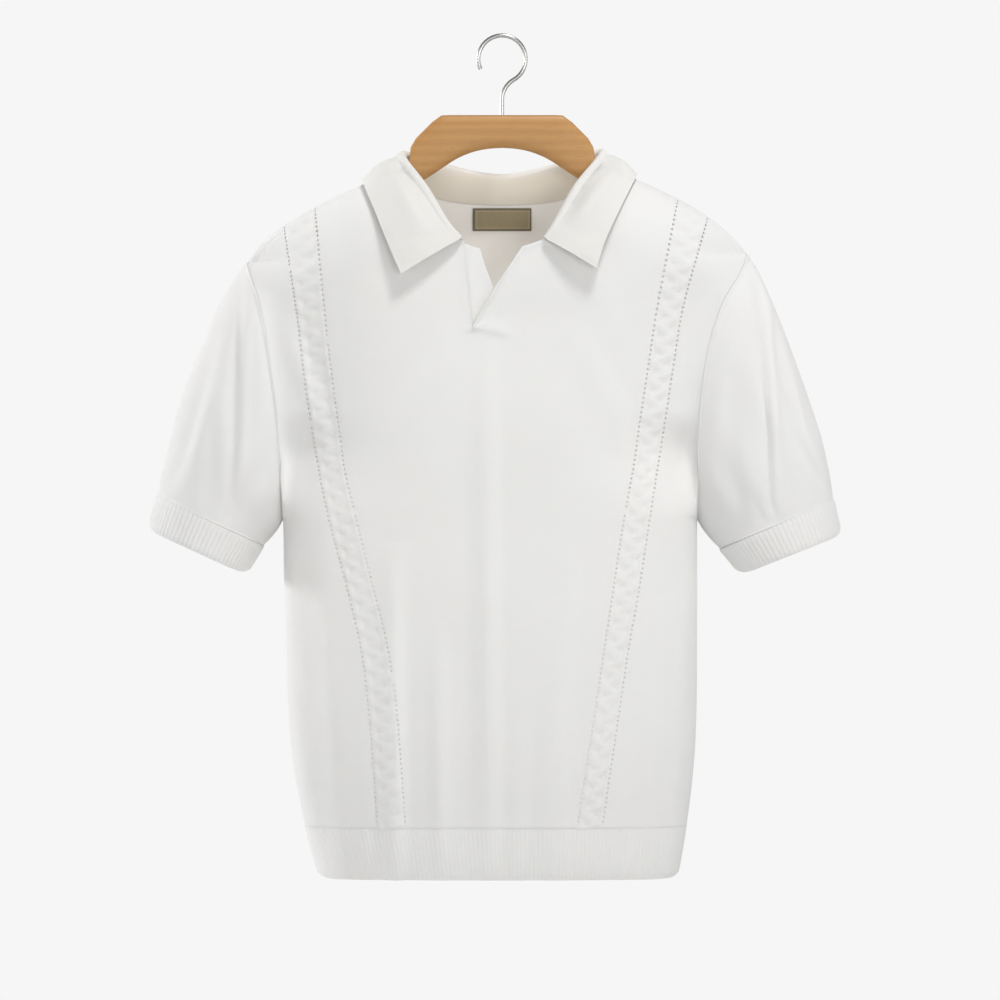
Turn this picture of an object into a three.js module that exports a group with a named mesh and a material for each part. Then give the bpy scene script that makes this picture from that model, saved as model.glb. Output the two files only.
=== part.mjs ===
// A knitted polo shirt with a soft open collar, hanging on a wooden hanger.
// Millimetres, +Z up, the front towards -Y and the viewer's right towards +X.
// The origin is the inside of the hook's crown, where the hanger hangs on a rail.

import * as THREE from "three";

// Cloth and seams
const clothWall = 1.8;
const ribWall = 2.0;
const seamGap = 0.3;
const underlapGap = 1.0;
const ribPitch = 3.9;
const ribRise = 0.7;
const braidRise = 1.1;

// Heights that the panels share
const hemEdge = -781;
const hemSeam = -733;
const armpit = -447;
const notchFoot = -271;
const neckFront = -189.5;
const aboveAll = -60;

// Widths that the panels share
const neckHalf = 99;
const collarEndLeft = -35.5;
const collarEndRight = 38;

// The body's roundness, the flatter section above the armpits and the height where it is
// reached, the shoulder's roll and the armhole's depth each way
const bodyPower = 2.6;
const chestPower = 3.2;
const chestRise = 70;
const shoulderRoll = 70;
const armholeDepth = 32;
const armholePower = 2.4;
const armholeReach = 9;

// The body's outline from the front, and how far its middle stands forward and back
const bodyRows = [
  { z: -781, left: -170, right: 163, front: 70, back: 64 },
  { z: -760, left: -176, right: 167, front: 74, back: 68 },
  { z: -733, left: -183, right: 171.5, front: 77, back: 70 },
  { z: -690, left: -192, right: 177, front: 81, back: 74 },
  { z: -640, left: -198, right: 180.5, front: 82, back: 75 },
  { z: -541, left: -202, right: 181.5, front: 77, back: 70 },
  { z: -447, left: -203.7, right: 181.4, front: 69, back: 62 },
  { z: -365, left: -208, right: 181.8, front: 65, back: 56 },
  { z: -300, left: -216, right: 189, front: 61, back: 52 },
  { z: -250, left: -224.5, right: 203, front: 57, back: 48 },
  { z: -205, left: -238, right: 227, front: 52, back: 45 },
  { z: -120, left: -248, right: 240, front: 42, back: 40 },
];

// The shoulders' ridges, from the left end to the right end
const shoulderRows = [
  { x: -236.2, z: -208.7 },
  { x: -223, z: -191 },
  { x: -201.8, z: -174.3 },
  { x: -175.8, z: -158.5 },
  { x: -126.5, z: -135.2 },
  { x: -95, z: -121 },
  { x: -50, z: -103 },
  { x: 0, z: -92 },
  { x: 50, z: -101 },
  { x: 95, z: -118 },
  { x: 122.8, z: -130.6 },
  { x: 165.5, z: -151 },
  { x: 193.4, z: -167.8 },
  { x: 216.7, z: -188.3 },
  { x: 228.8, z: -202.2 },
];

// The neckline where the collar is sewn on, one half from its front end to the shoulder
const neckRows = [
  { x: 36, z: -189.5 },
  { x: 50, z: -186.5 },
  { x: 66, z: -178 },
  { x: 80, z: -163 },
  { x: 91, z: -145 },
];

// The neckline across the back, one half from the middle to the shoulder
const neckBackRows = [
  { x: 0, z: -155 },
  { x: 30, z: -153.5 },
  { x: 56, z: -149.5 },
  { x: 81, z: -140 },
];

// The free edge of the flap that laps over the neck's slit
const flapRows = [
  { x: -27, z: -271 },
  { x: -5.6, z: -232 },
  { x: 18.6, z: -195.7 },
  { x: 38, z: -189.5 },
];

// The strip under the flap: its left edge, hidden, and its free edge
const underlapRows = [
  { z: -283, left: -36, right: 9 },
  { z: -266, left: -36, right: 6 },
  { z: -250, left: -37.5, right: 0 },
  { z: -232, left: -39, right: -8.4 },
  { z: -214, left: -40.5, right: -15.5 },
  { z: -197, left: -42, right: -20.5 },
];

// How much higher the strip's hidden edge ends, and how that slope sets in
const underlapSlope = { rise: 9, across: 1.5, up: 6 };

// The eyelet lines beside the two braids on the front, from left to right
const braidRows = [
  { z: -733, leftOut: -115, leftIn: -89, rightIn: 69, rightOut: 92 },
  { z: -624, leftOut: -123, leftIn: -97, rightIn: 85.5, rightOut: 108 },
  { z: -568, leftOut: -130, leftIn: -104.5, rightIn: 94, rightOut: 116.5 },
  { z: -512, leftOut: -143, leftIn: -118.5, rightIn: 102.5, rightOut: 126.5 },
  { z: -456, leftOut: -158, leftIn: -132.5, rightIn: 111, rightOut: 135 },
  { z: -400, leftOut: -170, leftIn: -145.5, rightIn: 121, rightOut: 144 },
  { z: -307, leftOut: -184, leftIn: -158.5, rightIn: 135, rightOut: 158.5 },
  { z: -252, leftOut: -191, leftIn: -164.5, rightIn: 143.5, rightOut: 167.5 },
  { z: -177, leftOut: -202.5, leftIn: -172, rightIn: 158, rightOut: 188.5 },
  { z: -140, leftOut: -208.5, leftIn: -176, rightIn: 165.5, rightOut: 199.5 },
];

// Other lines of the front's cut, each from its top down to the hem seam
const cutLines = {
  shoulderLeft: { top: -99, foot: -54 },
  flapTop: { top: 18.6, topZ: -195.7, foot: 12 },
  collarEnd: { top: 38, topZ: -189.5, foot: 26 },
  shoulderRight: { top: 99, foot: 47 },
};
// The slit's line at its own foot and where it would meet the hem seam
const slitX = { foot: -27, hem: -12 };

// Soft folds that hang down the body: place and height at both ends, width and rise
const frontFolds = [
  { topX: -14, topZ: -262, footX: -10, footZ: -790, width: 13, rise: 2.6 },
  { topX: -99, topZ: -470, footX: -100, footZ: -790, width: 14, rise: 3.6 },
  { topX: -58, topZ: -570, footX: -57, footZ: -770, width: 12, rise: 2.6 },
  { topX: 42, topZ: -520, footX: 38, footZ: -780, width: 18, rise: 1.8 },
  { topX: -199, topZ: -225, footX: -190, footZ: -450, width: 12, rise: 3.0 },
  { topX: 172, topZ: -300, footX: 168, footZ: -470, width: 11, rise: 3.0 },
];
const backFolds = [
  { topX: -120, topZ: -420, footX: -112, footZ: -790, width: 18, rise: 5.0 },
  { topX: -52, topZ: -350, footX: -58, footZ: -790, width: 20, rise: 4.0 },
  { topX: 36, topZ: -460, footX: 30, footZ: -790, width: 17, rise: 4.5 },
  { topX: 104, topZ: -390, footX: 98, footZ: -790, width: 20, rise: 5.0 },
];

// Each sleeve's outline from the front: its outer line, from the shoulder to the cuff,
// and its under line, from the armpit to the cuff
const sleeveOutlines = {
  sleeve_a: {
    outer: [
      { x: -236.2, z: -208.7 },
      { x: -258.5, z: -244 },
      { x: -272.5, z: -276.6 },
      { x: -283.7, z: -301.7 },
      { x: -296.7, z: -337 },
      { x: -306.9, z: -374.3 },
      { x: -315, z: -405 },
      { x: -319.5, z: -427 },
    ],
    under: [
      { x: -203.7, z: -447 },
      { x: -212, z: -459 },
      { x: -223.2, z: -472 },
    ],
    cuffOuter: { x: -328, z: -457 },
    cuffUnder: { x: -239, z: -498 },
  },
  sleeve_b: {
    outer: [
      { x: 228.8, z: -202.2 },
      { x: 240.9, z: -225.5 },
      { x: 256.7, z: -262.7 },
      { x: 270.6, z: -299.9 },
      { x: 283.7, z: -337 },
      { x: 295.7, z: -374.3 },
      { x: 302.5, z: -405 },
      { x: 306.8, z: -431 },
    ],
    under: [
      { x: 181.4, z: -447 },
      { x: 191, z: -460 },
      { x: 204, z: -475 },
    ],
    cuffOuter: { x: 314, z: -462 },
    cuffUnder: { x: 223, z: -498 },
  },
};
const sleeveSteps = [0, 0.1, 0.2, 0.32, 0.45, 0.6, 0.8, 1];
const sleeveDepths = [
  { t: 0, depth: 32 },
  { t: 0.2, depth: 38 },
  { t: 0.5, depth: 43 },
  { t: 1, depth: 43 },
];
// Folds along the sleeves: place around the arm, half a turn being the armpit
const sleeveFolds = [
  { turn: 0.12, width: 0.035, rise: 2.8 },
  { turn: 0.21, width: 0.045, rise: 3.2 },
  { turn: 0.36, width: 0.035, rise: 2.4 },
  { turn: 0.68, width: 0.05, rise: 3.5 },
  { turn: 0.84, width: 0.045, rise: 3.0 },
];

// The collar at a row of places, turn 0 and 4 being its front ends, 1 and 3 the shoulders
// and 2 the middle of the back: its folded rim, its outer edge, and the fold's radius
const collarRows = [
  { turn: 0, rimX: -37.5, rimY: -54.5, rimZ: -187, edgeX: -92, edgeZ: -222.5, fold: 1.7 },
  { turn: 0.3, rimX: -51, rimY: -48, rimZ: -172, edgeX: -101, edgeZ: -202, fold: 3.2 },
  { turn: 0.65, rimX: -72, rimY: -25, rimZ: -138, edgeX: -115, edgeZ: -168, fold: 4.2 },
  { turn: 1, rimX: -93.5, rimY: 2, rimZ: -107, edgeX: -127, edgeZ: -136, fold: 4 },
  { turn: 1.45, rimX: -64, rimY: 34, rimZ: -114, edgeX: -94, edgeZ: -172, fold: 4.5 },
  { turn: 2, rimX: 0, rimY: 47, rimZ: -126, edgeX: 0, edgeZ: -186, fold: 4.5 },
  { turn: 2.55, rimX: 64, rimY: 34, rimZ: -113, edgeX: 94, edgeZ: -170, fold: 4.5 },
  { turn: 3, rimX: 93.5, rimY: 2, rimZ: -105, edgeX: 123, edgeZ: -131.5, fold: 4 },
  { turn: 3.35, rimX: 70, rimY: -25, rimZ: -137, edgeX: 109, edgeZ: -160, fold: 4.2 },
  { turn: 3.7, rimX: 50, rimY: -48, rimZ: -171, edgeX: 94, edgeZ: -192, fold: 3.2 },
  { turn: 4, rimX: 39.5, rimY: -54.5, rimZ: -187, edgeX: 86, edgeZ: -217, fold: 1.7 },
];
const collarLift = 3;
const collarGap = 0.8;
// The stand's middle point and the fall's two, by their share of the way, how far the fall
// bows out and stands off the body there, and how round its fold is
const collarForm = { stand: 0.55, fall: [0.3, 0.62], bow: 3.5, standOff: 1.5, round: 0.28 };
// Behind the neck the collar's solid is split in two: the turns beside the split.
const collarSplit = { left: 1.9985, right: 2.0015 };

// Label on the inside of the back
const label = { width: 55, height: 21.5, top: -157, thick: 0.8, gap: 1.2 };

// Hanger: the top and bottom of its wood, and its thickness, at places along one arm
const hangerRows = [
  { x: 0, top: -72, bottom: -103.5, thick: 13 },
  { x: 30, top: -72, bottom: -108, thick: 13 },
  { x: 50, top: -72, bottom: -119, thick: 13 },
  { x: 57, top: -72.6, bottom: -122.5, thick: 13 },
  { x: 65, top: -77.5, bottom: -126.5, thick: 12.5 },
  { x: 73, top: -86.5, bottom: -131, thick: 12 },
  { x: 80, top: -95.5, bottom: -136, thick: 12 },
  { x: 84, top: -106, bottom: -140, thick: 12 },
  { x: 87, top: -125, bottom: -144, thick: 13 },
  { x: 95, top: -133, bottom: -148, thick: 14 },
  { x: 126, top: -144, bottom: -166, thick: 18 },
  { x: 150, top: -155, bottom: -177, thick: 22 },
  { x: 176, top: -169, bottom: -189, thick: 25 },
  { x: 190, top: -178, bottom: -193, thick: 20 },
  { x: 196, top: -183.5, bottom: -192, thick: 13 },
];

const hangerPower = 0.75;

// Hook of round wire: the loop's inside radius, and where its two arcs end
const hook = { wire: 4, inside: 20, openAt: 205, turnAt: -60, foot: -71.7 };

const colours = { cloth: 0xe9e7e1, label: 0x84765a, wood: 0xc2905c, metal: 0xb9b8b4 };

// Helpers for tables and angles

function mix(a, b, share) {
  return a + (b - a) * share;
}

// A smooth function through a table's rows, from one of its columns to another.
function through(rows, from, to) {
  const keys = rows.map((row) => row[from]);
  const values = rows.map((row) => row[to]);
  const last = keys.length - 1;
  const slopes = keys.map((_, i) => {
    const before = Math.max(i - 1, 0);
    const after = Math.min(i + 1, last);
    return (values[after] - values[before]) / (keys[after] - keys[before]);
  });
  return (key) => {
    if (key <= keys[0]) {
      return values[0] + slopes[0] * (key - keys[0]);
    }
    if (key >= keys[last]) {
      return values[last] + slopes[last] * (key - keys[last]);
    }
    const i = keys.findIndex((k) => k > key) - 1;
    const span = keys[i + 1] - keys[i];
    const s = (key - keys[i]) / span;
    const s2 = s * s;
    const s3 = s2 * s;
    return (
      values[i] * (2 * s3 - 3 * s2 + 1) +
      slopes[i] * span * (s3 - 2 * s2 + s) +
      values[i + 1] * (3 * s2 - 2 * s3) +
      slopes[i + 1] * span * (s3 - s2)
    );
  };
}

// Straight between a table's rows.
function between(rows, from, to) {
  const keys = rows.map((row) => row[from]);
  return (key) => {
    const last = keys.length - 1;
    const i = Math.min(Math.max(keys.findIndex((k) => k > key) - 1, 0), last - 1);
    const at = key >= keys[last] ? last - 1 : i;
    const share = (key - keys[at]) / (keys[at + 1] - keys[at]);
    return mix(rows[at][to], rows[at + 1][to], share);
  };
}

function steps(count, start = 0, end = 1) {
  return Array.from({ length: count + 1 }, (_, i) => mix(start, end, i / count));
}

function signedPower(value, power) {
  return Math.sign(value) * Math.abs(value) ** power;
}

// Where a line lies at a key, straight between its points.
function lineAt(line, key) {
  const i = Math.min(
    Math.max(line.findIndex((n) => n.key >= key - 1e-9), 1),
    line.length - 1,
  );
  const share = (key - line[i - 1].key) / (line[i].key - line[i - 1].key);
  return line[i - 1].p.clone().lerp(line[i].p, share);
}

// A closed surface, gathered triangle by triangle from lines of keyed points.
class Skin {
  constructor() {
    this.points = [];
    this.faces = [];
    this.known = new Map();
  }

  vertex(p) {
    const name = [p.x, p.y, p.z].map((v) => Math.round(v * 1000)).join();
    if (!this.known.has(name)) {
      this.known.set(name, this.points.length);
      this.points.push(p);
    }
    return this.known.get(name);
  }

  triangle(a, b, c) {
    const [i, j, k] = [a, b, c].map((p) => this.vertex(p));
    if (i !== j && j !== k && k !== i) {
      this.faces.push([i, j, k]);
    }
  }

  // Triangles between two lines whose keys rise together; it faces (b - a) x (key's way).
  strip(a, b) {
    let i = 0;
    let j = 0;
    while (i < a.length - 1 || j < b.length - 1) {
      const nextA = i < a.length - 1 ? a[i + 1].key : Infinity;
      const nextB = j < b.length - 1 ? b[j + 1].key : Infinity;
      if (nextA <= nextB) {
        this.triangle(a[i].p, b[j].p, a[i + 1].p);
        i += 1;
      } else {
        this.triangle(a[i].p, b[j].p, b[j + 1].p);
        j += 1;
      }
    }
  }

  strips(lines) {
    for (let i = 1; i < lines.length; i += 1) {
      this.strip(lines[i - 1], lines[i]);
    }
  }

  geometry() {
    let volume = 0;
    for (const [i, j, k] of this.faces) {
      const side = this.points[j].clone().cross(this.points[k]);
      volume += this.points[i].dot(side);
    }
    const order = volume > 0 ? [0, 1, 2] : [0, 2, 1];
    const geometry = new THREE.BufferGeometry();
    const flat = this.points.flatMap((p) => [p.x, p.y, p.z]);
    geometry.setAttribute("position", new THREE.Float32BufferAttribute(flat, 3));
    geometry.setIndex(this.faces.flatMap((face) => order.map((at) => face[at])));
    geometry.computeVertexNormals();
    return geometry;
  }
}

// A wall between outer and inner lines. On a closed tube each line ends where it starts;
// an open wall is also closed along its lines' first and last points.
function wallBetween(outer, inner, closed) {
  const skin = new Skin();
  skin.strips(outer);
  skin.strips([...inner].reverse());
  skin.strip(inner[0], outer[0]);
  skin.strip(outer.at(-1), inner.at(-1));
  if (!closed) {
    skin.strip(endsOf(outer, 0), endsOf(inner, 0));
    skin.strip(endsOf(inner, -1), endsOf(outer, -1));
  }
  return skin.geometry();
}

function endsOf(lines, at) {
  return lines.map((line, key) => ({ key, p: line.at(at).p }));
}

// A solid through rings of points, with a flat fan at each end.
function solidThrough(rings) {
  const skin = new Skin();
  const keyed = rings.map((ring) => [...ring, ring[0]].map((p, key) => ({ key, p })));
  skin.strips(keyed);
  for (let i = 1; i < rings[0].length - 1; i += 1) {
    skin.triangle(rings[0][0], rings[0][i], rings[0][i + 1]);
    const end = rings.at(-1);
    skin.triangle(end[0], end[i + 1], end[i]);
  }
  return skin.geometry();
}

const halvings = 40;

// The body's surface, front side -1 and back side +1

const bodyLeft = through(bodyRows, "z", "left");
const bodyRight = through(bodyRows, "z", "right");
const frontDepth = through(bodyRows, "z", "front");
const backDepth = through(bodyRows, "z", "back");
const shoulderZ = through(shoulderRows, "x", "z");
const tips = { left: shoulderRows[0], right: shoulderRows.at(-1) };

function centreX(z) {
  return (bodyLeft(z) + bodyRight(z)) / 2;
}

function halfWidth(z) {
  return (bodyRight(z) - bodyLeft(z)) / 2;
}

// The angle around the body, 0 at the left edge and pi at the right edge.
function angleAt(x, z) {
  const share = (x - centreX(z)) / halfWidth(z);
  const cosine = -signedPower(Math.min(Math.max(share, -1), 1), bodyPower / 2);
  return Math.acos(cosine);
}

function armholeY(side, z) {
  const tip = side < 0 ? tips.left : tips.right;
  if (z <= armpit || z >= tip.z) {
    return 0;
  }
  const share = Math.abs((2 * z - armpit - tip.z) / (tip.z - armpit));
  return armholeDepth * (1 - share ** armholePower) ** (1 / armholePower);
}

function foldsAt(folds, x, z) {
  let rise = 0;
  for (const fold of folds) {
    const share = (z - fold.footZ) / (fold.topZ - fold.footZ);
    if (share > 0 && share < 1) {
      const across = (x - mix(fold.footX, fold.topX, share)) / fold.width;
      rise += fold.rise * Math.exp(-across * across) * Math.sin(Math.PI * share) ** 0.5;
    }
  }
  return rise;
}

function bodyPoint(facing, angle, z) {
  const share = -signedPower(Math.cos(angle), 2 / bodyPower);
  const x = centreX(z) + halfWidth(z) * share;
  const deep = facing < 0 ? frontDepth(z) : backDepth(z);
  const folds = facing < 0 ? frontFolds : backFolds;
  const chest = Math.min(Math.max((z - armpit) / chestRise, 0), 1);
  const oval = Math.abs(Math.sin(angle)) ** (2 / bodyPower);
  const round = mix(oval, 1 - Math.abs(share) ** chestPower, chest * chest * (3 - 2 * chest));
  const edge = armholeY(share, z);
  const below = shoulderZ(x) - z;
  const rolled = Math.min(Math.abs(below) / shoulderRoll, 1);
  const roll = Math.sign(below) * Math.sqrt(1 - (1 - rolled) ** 2);
  const nearEdge = Math.abs(share) ** armholeReach;
  const full = edge * nearEdge + (deep + foldsAt(folds, x, z)) * round;
  return new THREE.Vector3(x, facing * full * roll, z);
}

// The way out of the cloth, kept in the plane of a seam where flat names an axis.
function bodyNormal(facing, angle, z, flat = "") {
  const turn = 0.004;
  const rise = 0.4;
  const right = bodyPoint(facing, Math.min(angle + turn, Math.PI), z);
  const across = right.sub(bodyPoint(facing, Math.max(angle - turn, 0), z));
  const up = bodyPoint(facing, angle, z + rise).sub(bodyPoint(facing, angle, z - rise));
  const normal = facing < 0 ? across.cross(up) : up.cross(across);
  for (const axis of flat) {
    normal[axis] = 0;
  }
  return normal.normalize();
}

function onBody(facing, x, z) {
  return bodyPoint(facing, angleAt(x, z), z);
}

// Columns of a panel: a key of 0 to 1 runs from the hem seam to the armpit, of 1 to 2 to
// the foot of the slit, and of 2 to 3 to the panel's upper edge.

function heightAt(key, top) {
  if (key <= 1) {
    return mix(hemSeam, armpit, key);
  }
  return key <= 2 ? mix(armpit, notchFoot, key - 1) : mix(notchFoot, top, key - 2);
}

const plainKeys = [
  ...steps(16),
  ...[1.02, 1.06, 1.12, 1.2],
  ...steps(8, 1.3, 2),
  ...[2.18, 2.36, 2.54, 2.7, 2.82, 2.91, 2.965, 2.99, 3],
];
const fineKeys = [
  ...steps(32),
  ...steps(20, 1, 2).slice(1),
  ...steps(12, 2, 3).slice(1, -1),
  ...[2.965, 2.99, 3],
];
const innerKeys = [...steps(5), ...[1.06, 1.2, 1.475, 2], ...[2.36, 2.7, 2.88, 2.965, 3]];

// A seam's plane at a point of a panel: the sides and shoulders meet the other panel in a
// plane across y, and the hem seam is level.
function seamPlane(place, key) {
  const sideSeam = place.side && key <= 1;
  const shoulder = place.ridge && key >= 3;
  return (sideSeam || shoulder ? "y" : "") + (key <= 0 ? "z" : "");
}

// One column as an outer line with the braid's relief, and a plainer inner line.
function columnOf(facing, place) {
  const shift = new THREE.Vector3(0, (facing * seamGap) / 2, 0);
  const node = (key, depth) => {
    const z = heightAt(key, place.top);
    const angle = place.angle(z);
    const plane = seamPlane(place, key);
    const p = bodyPoint(facing, angle, z);
    p.y = plane.includes("y") ? 0 : p.y;
    p.addScaledVector(bodyNormal(facing, angle, z, plane), depth);
    p.y = facing * Math.max(facing * p.y, 0);
    return { key, p: p.add(shift) };
  };
  const reach = place.end ?? 3;
  const keys = (place.fine ? fineKeys : plainKeys).filter((key) => key <= reach);
  const armhole = place.side ? plainKeys.filter((key) => key > 1) : [];
  const coarse = innerKeys.filter((key) => key <= (place.side ? 1 : reach));
  const inside = [...coarse, ...armhole];
  const outer = keys.map((key, i) => node(key, place.relief ? place.relief(i) : 0));
  return { outer, inner: inside.map((key) => node(key, -clothWall)) };
}

// The height at which a column reaches the panel's upper edge, by halving.
function topOf(angle, edge) {
  let low = notchFoot;
  let high = aboveAll;
  for (let i = 0; i < halvings; i += 1) {
    const z = (low + high) / 2;
    const x = bodyPoint(-1, angle(z), z).x;
    if (edge(x) > z) {
      low = z;
    } else {
      high = z;
    }
  }
  return (low + high) / 2;
}

// Columns between neighbouring lines of a cut, each line an angle for any height.
function columnsBetween(lines, counts, edge, extras = () => ({})) {
  const places = [];
  lines.forEach((line, part) => {
    const count = part === 0 ? 0 : counts[part - 1];
    for (let i = part === 0 ? 0 : 1; i <= count; i += 1) {
      const share = count ? i / count : 0;
      const before = lines[part - 1] ?? line;
      const angle = (z) => (share === 1 || !count ? line(z) : mix(before(z), line(z), share));
      const place = { angle, part, step: i, count, ...extras(part, i, count) };
      place.top = place.top ?? topOf(angle, edge);
      places.push(place);
    }
  });
  return places;
}

const sideLeft = () => 0;
const sideRight = () => Math.PI;

function lineOf(x) {
  return (z) => angleAt(x(z), z);
}

function cutLine(cut) {
  const topZ = cut.topZ ?? shoulderZ(cut.top);
  return lineOf((z) => mix(cut.foot, cut.top, (z - hemSeam) / (topZ - hemSeam)));
}

function slitAt(z) {
  if (z < notchFoot) {
    return mix(slitX.hem, slitX.foot, (z - hemSeam) / (notchFoot - hemSeam));
  }
  return mix(slitX.foot, collarEndLeft, (z - notchFoot) / (neckFront - notchFoot));
}

// Relief of a braid: its two strands rise in turn on either side of its middle.
const braidLanes = [
  { even: 0, odd: 0 },
  { even: 1, odd: 0.25 },
  { even: 0.7, odd: 0.7 },
  { even: 0.25, odd: 1 },
  { even: 0, odd: 0 },
];

const braidEnd = fineKeys.length - 4;

function braidPlace(step) {
  const lane = braidLanes[step];
  const relief = (row) => (row > braidEnd ? 0 : braidRise * (row % 2 ? lane.odd : lane.even));
  return step > 0 && step < 4 ? { fine: true, relief } : {};
}

const braidLine = (name) => lineOf(through(braidRows, "z", name));
const highPoints = { left: shoulderZ(-neckHalf), right: shoulderZ(neckHalf) };

function neckTo(rows, z) {
  return through([...rows, { x: neckHalf, z }], "x", "z");
}

const neckLeft = neckTo(neckRows, highPoints.left);
const neckRight = neckTo(neckRows, highPoints.right);
const neckBackLeft = neckTo(neckBackRows, highPoints.left);
const neckBackRight = neckTo(neckBackRows, highPoints.right);

function frontTopLeft(x) {
  return x < -neckHalf ? shoulderZ(x) : neckLeft(-x);
}

function frontTopRight(x) {
  if (x < collarEndRight) {
    return between(flapRows, "x", "z")(x);
  }
  return x > neckHalf ? shoulderZ(x) : Math.max(neckRight(x), neckFront);
}

function backTop(x) {
  if (Math.abs(x) > neckHalf) {
    return shoulderZ(x);
  }
  return x < 0 ? neckBackLeft(-x) : neckBackRight(x);
}

const ridgeParts = { left: 3, right: 4 };

const frontLeftPlaces = columnsBetween(
  [
    sideLeft,
    braidLine("leftOut"),
    braidLine("leftIn"),
    cutLine(cutLines.shoulderLeft),
    lineOf(slitAt),
  ],
  [4, 4, 3, 4],
  frontTopLeft,
  (part, step, count) => ({
    side: part === 0,
    ridge: part <= ridgeParts.left,
    ...(part === 0 ? { top: tips.left.z } : {}),
    ...(part === 2 ? braidPlace(step) : {}),
    ...(part === 3 && step === count ? { top: highPoints.left } : {}),
    ...(part === 4 && step === count ? { top: neckFront } : {}),
  }),
);

const frontRightPlaces = columnsBetween(
  [
    lineOf(slitAt),
    cutLine(cutLines.flapTop),
    cutLine(cutLines.collarEnd),
    cutLine(cutLines.shoulderRight),
    braidLine("rightIn"),
    braidLine("rightOut"),
    sideRight,
  ],
  [3, 1, 4, 3, 4, 4],
  frontTopRight,
  (part, step, count) => ({
    side: part === 6 && step === count,
    ridge: part >= ridgeParts.right || (part === 3 && step === count),
    ...(part === 0 ? { top: notchFoot, end: 2 } : {}),
    ...(part === 3 && step === count ? { top: highPoints.right } : {}),
    ...(part === 5 ? braidPlace(step) : {}),
    ...(part === 6 && step === count ? { top: tips.right.z } : {}),
  }),
);

const backPlaces = columnsBetween(
  [sideLeft, cutLine(cutLines.shoulderLeft), cutLine(cutLines.shoulderRight), sideRight],
  [7, 8, 7],
  backTop,
  (part, step, count) => ({
    side: part === 0 || (part === 3 && step === count),
    ridge: part <= 1 || part === 3 || (part === 2 && step === count),
    ...(part === 0 ? { top: tips.left.z } : {}),
    ...(part === 1 && step === count ? { top: highPoints.left } : {}),
    ...(part === 2 && step === count ? { top: highPoints.right } : {}),
    ...(part === 3 && step === count ? { top: tips.right.z } : {}),
  }),
);

function columnsOf(facing, places) {
  return places.map((place, at) => ({ place, at, ...columnOf(facing, place) }));
}

const frontLeft = columnsOf(-1, frontLeftPlaces);
const frontRight = columnsOf(-1, frontRightPlaces);
const back = columnsOf(1, backPlaces);

// The inner side needs only some of the columns: the lines of the cut and every other one.
function innerColumns(columns) {
  const last = columns.length - 1;
  return columns.filter(({ place, at }) => {
    const lineHere = place.step === place.count || at === 0 || at === last;
    return lineHere || (place.step % 2 === 0 && !place.fine);
  });
}

function acrossTops(columns, layer) {
  return columns.map((column) => ({ key: column.at, p: column[layer].at(-1).p }));
}

function acrossFeet(columns, layer) {
  return columns.map((column) => ({ key: column.at, p: column[layer][0].p }));
}

// The front is one piece: two sets of columns that part at the slit.
function frontGeometry() {
  const skin = new Skin();
  for (const columns of [frontLeft, frontRight]) {
    const inside = innerColumns(columns);
    skin.strips(columns.map((column) => column.outer));
    skin.strips(inside.map((column) => column.inner).reverse());
    skin.strip(acrossFeet(columns, "outer"), acrossFeet(inside, "inner"));
    skin.strip(acrossTops(inside, "inner"), acrossTops(columns, "outer"));
  }
  skin.strip(frontLeft[0].inner, frontLeft[0].outer);
  skin.strip(frontRight.at(-1).outer, frontRight.at(-1).inner);
  const slit = frontLeft.at(-1);
  const free = (line) => line.filter((node) => node.key >= 2);
  skin.strip(free(slit.outer), free(slit.inner));
  return skin.geometry();
}

function backGeometry() {
  const skin = new Skin();
  const inside = innerColumns(back);
  skin.strips(back.map((column) => column.outer));
  skin.strips(inside.map((column) => column.inner).reverse());
  skin.strip(acrossFeet(back, "outer"), acrossFeet(inside, "inner"));
  skin.strip(acrossTops(inside, "inner"), acrossTops(back, "outer"));
  skin.strip(back[0].inner, back[0].outer);
  skin.strip(back.at(-1).outer, back.at(-1).inner);
  return skin.geometry();
}

// The strip under the flap lies just behind the front's inner side.
function underlapGeometry() {
  const left = between(underlapRows, "z", "left");
  const right = between(underlapRows, "z", "right");
  const low = underlapRows[0].z;
  const high = underlapRows.at(-1).z;
  const layer = (depth) => {
    return steps(4).map((share) => {
      const rise = underlapSlope.rise * (1 - share) ** underlapSlope.across;
      return steps(10).map((key) => {
        const z = mix(low, high, key) + rise * key ** underlapSlope.up;
        const x = mix(left(Math.min(z, high)), right(Math.min(z, high)), share);
        const angle = angleAt(x, z);
        const p = bodyPoint(-1, angle, z);
        return { key, p: p.addScaledVector(bodyNormal(-1, angle, z), -depth) };
      });
    });
  };
  const near = clothWall + underlapGap;
  return wallBetween(layer(near), layer(near + clothWall), false);
}

const innerCounts = { hem: 40, cuff: 28 };

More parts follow.
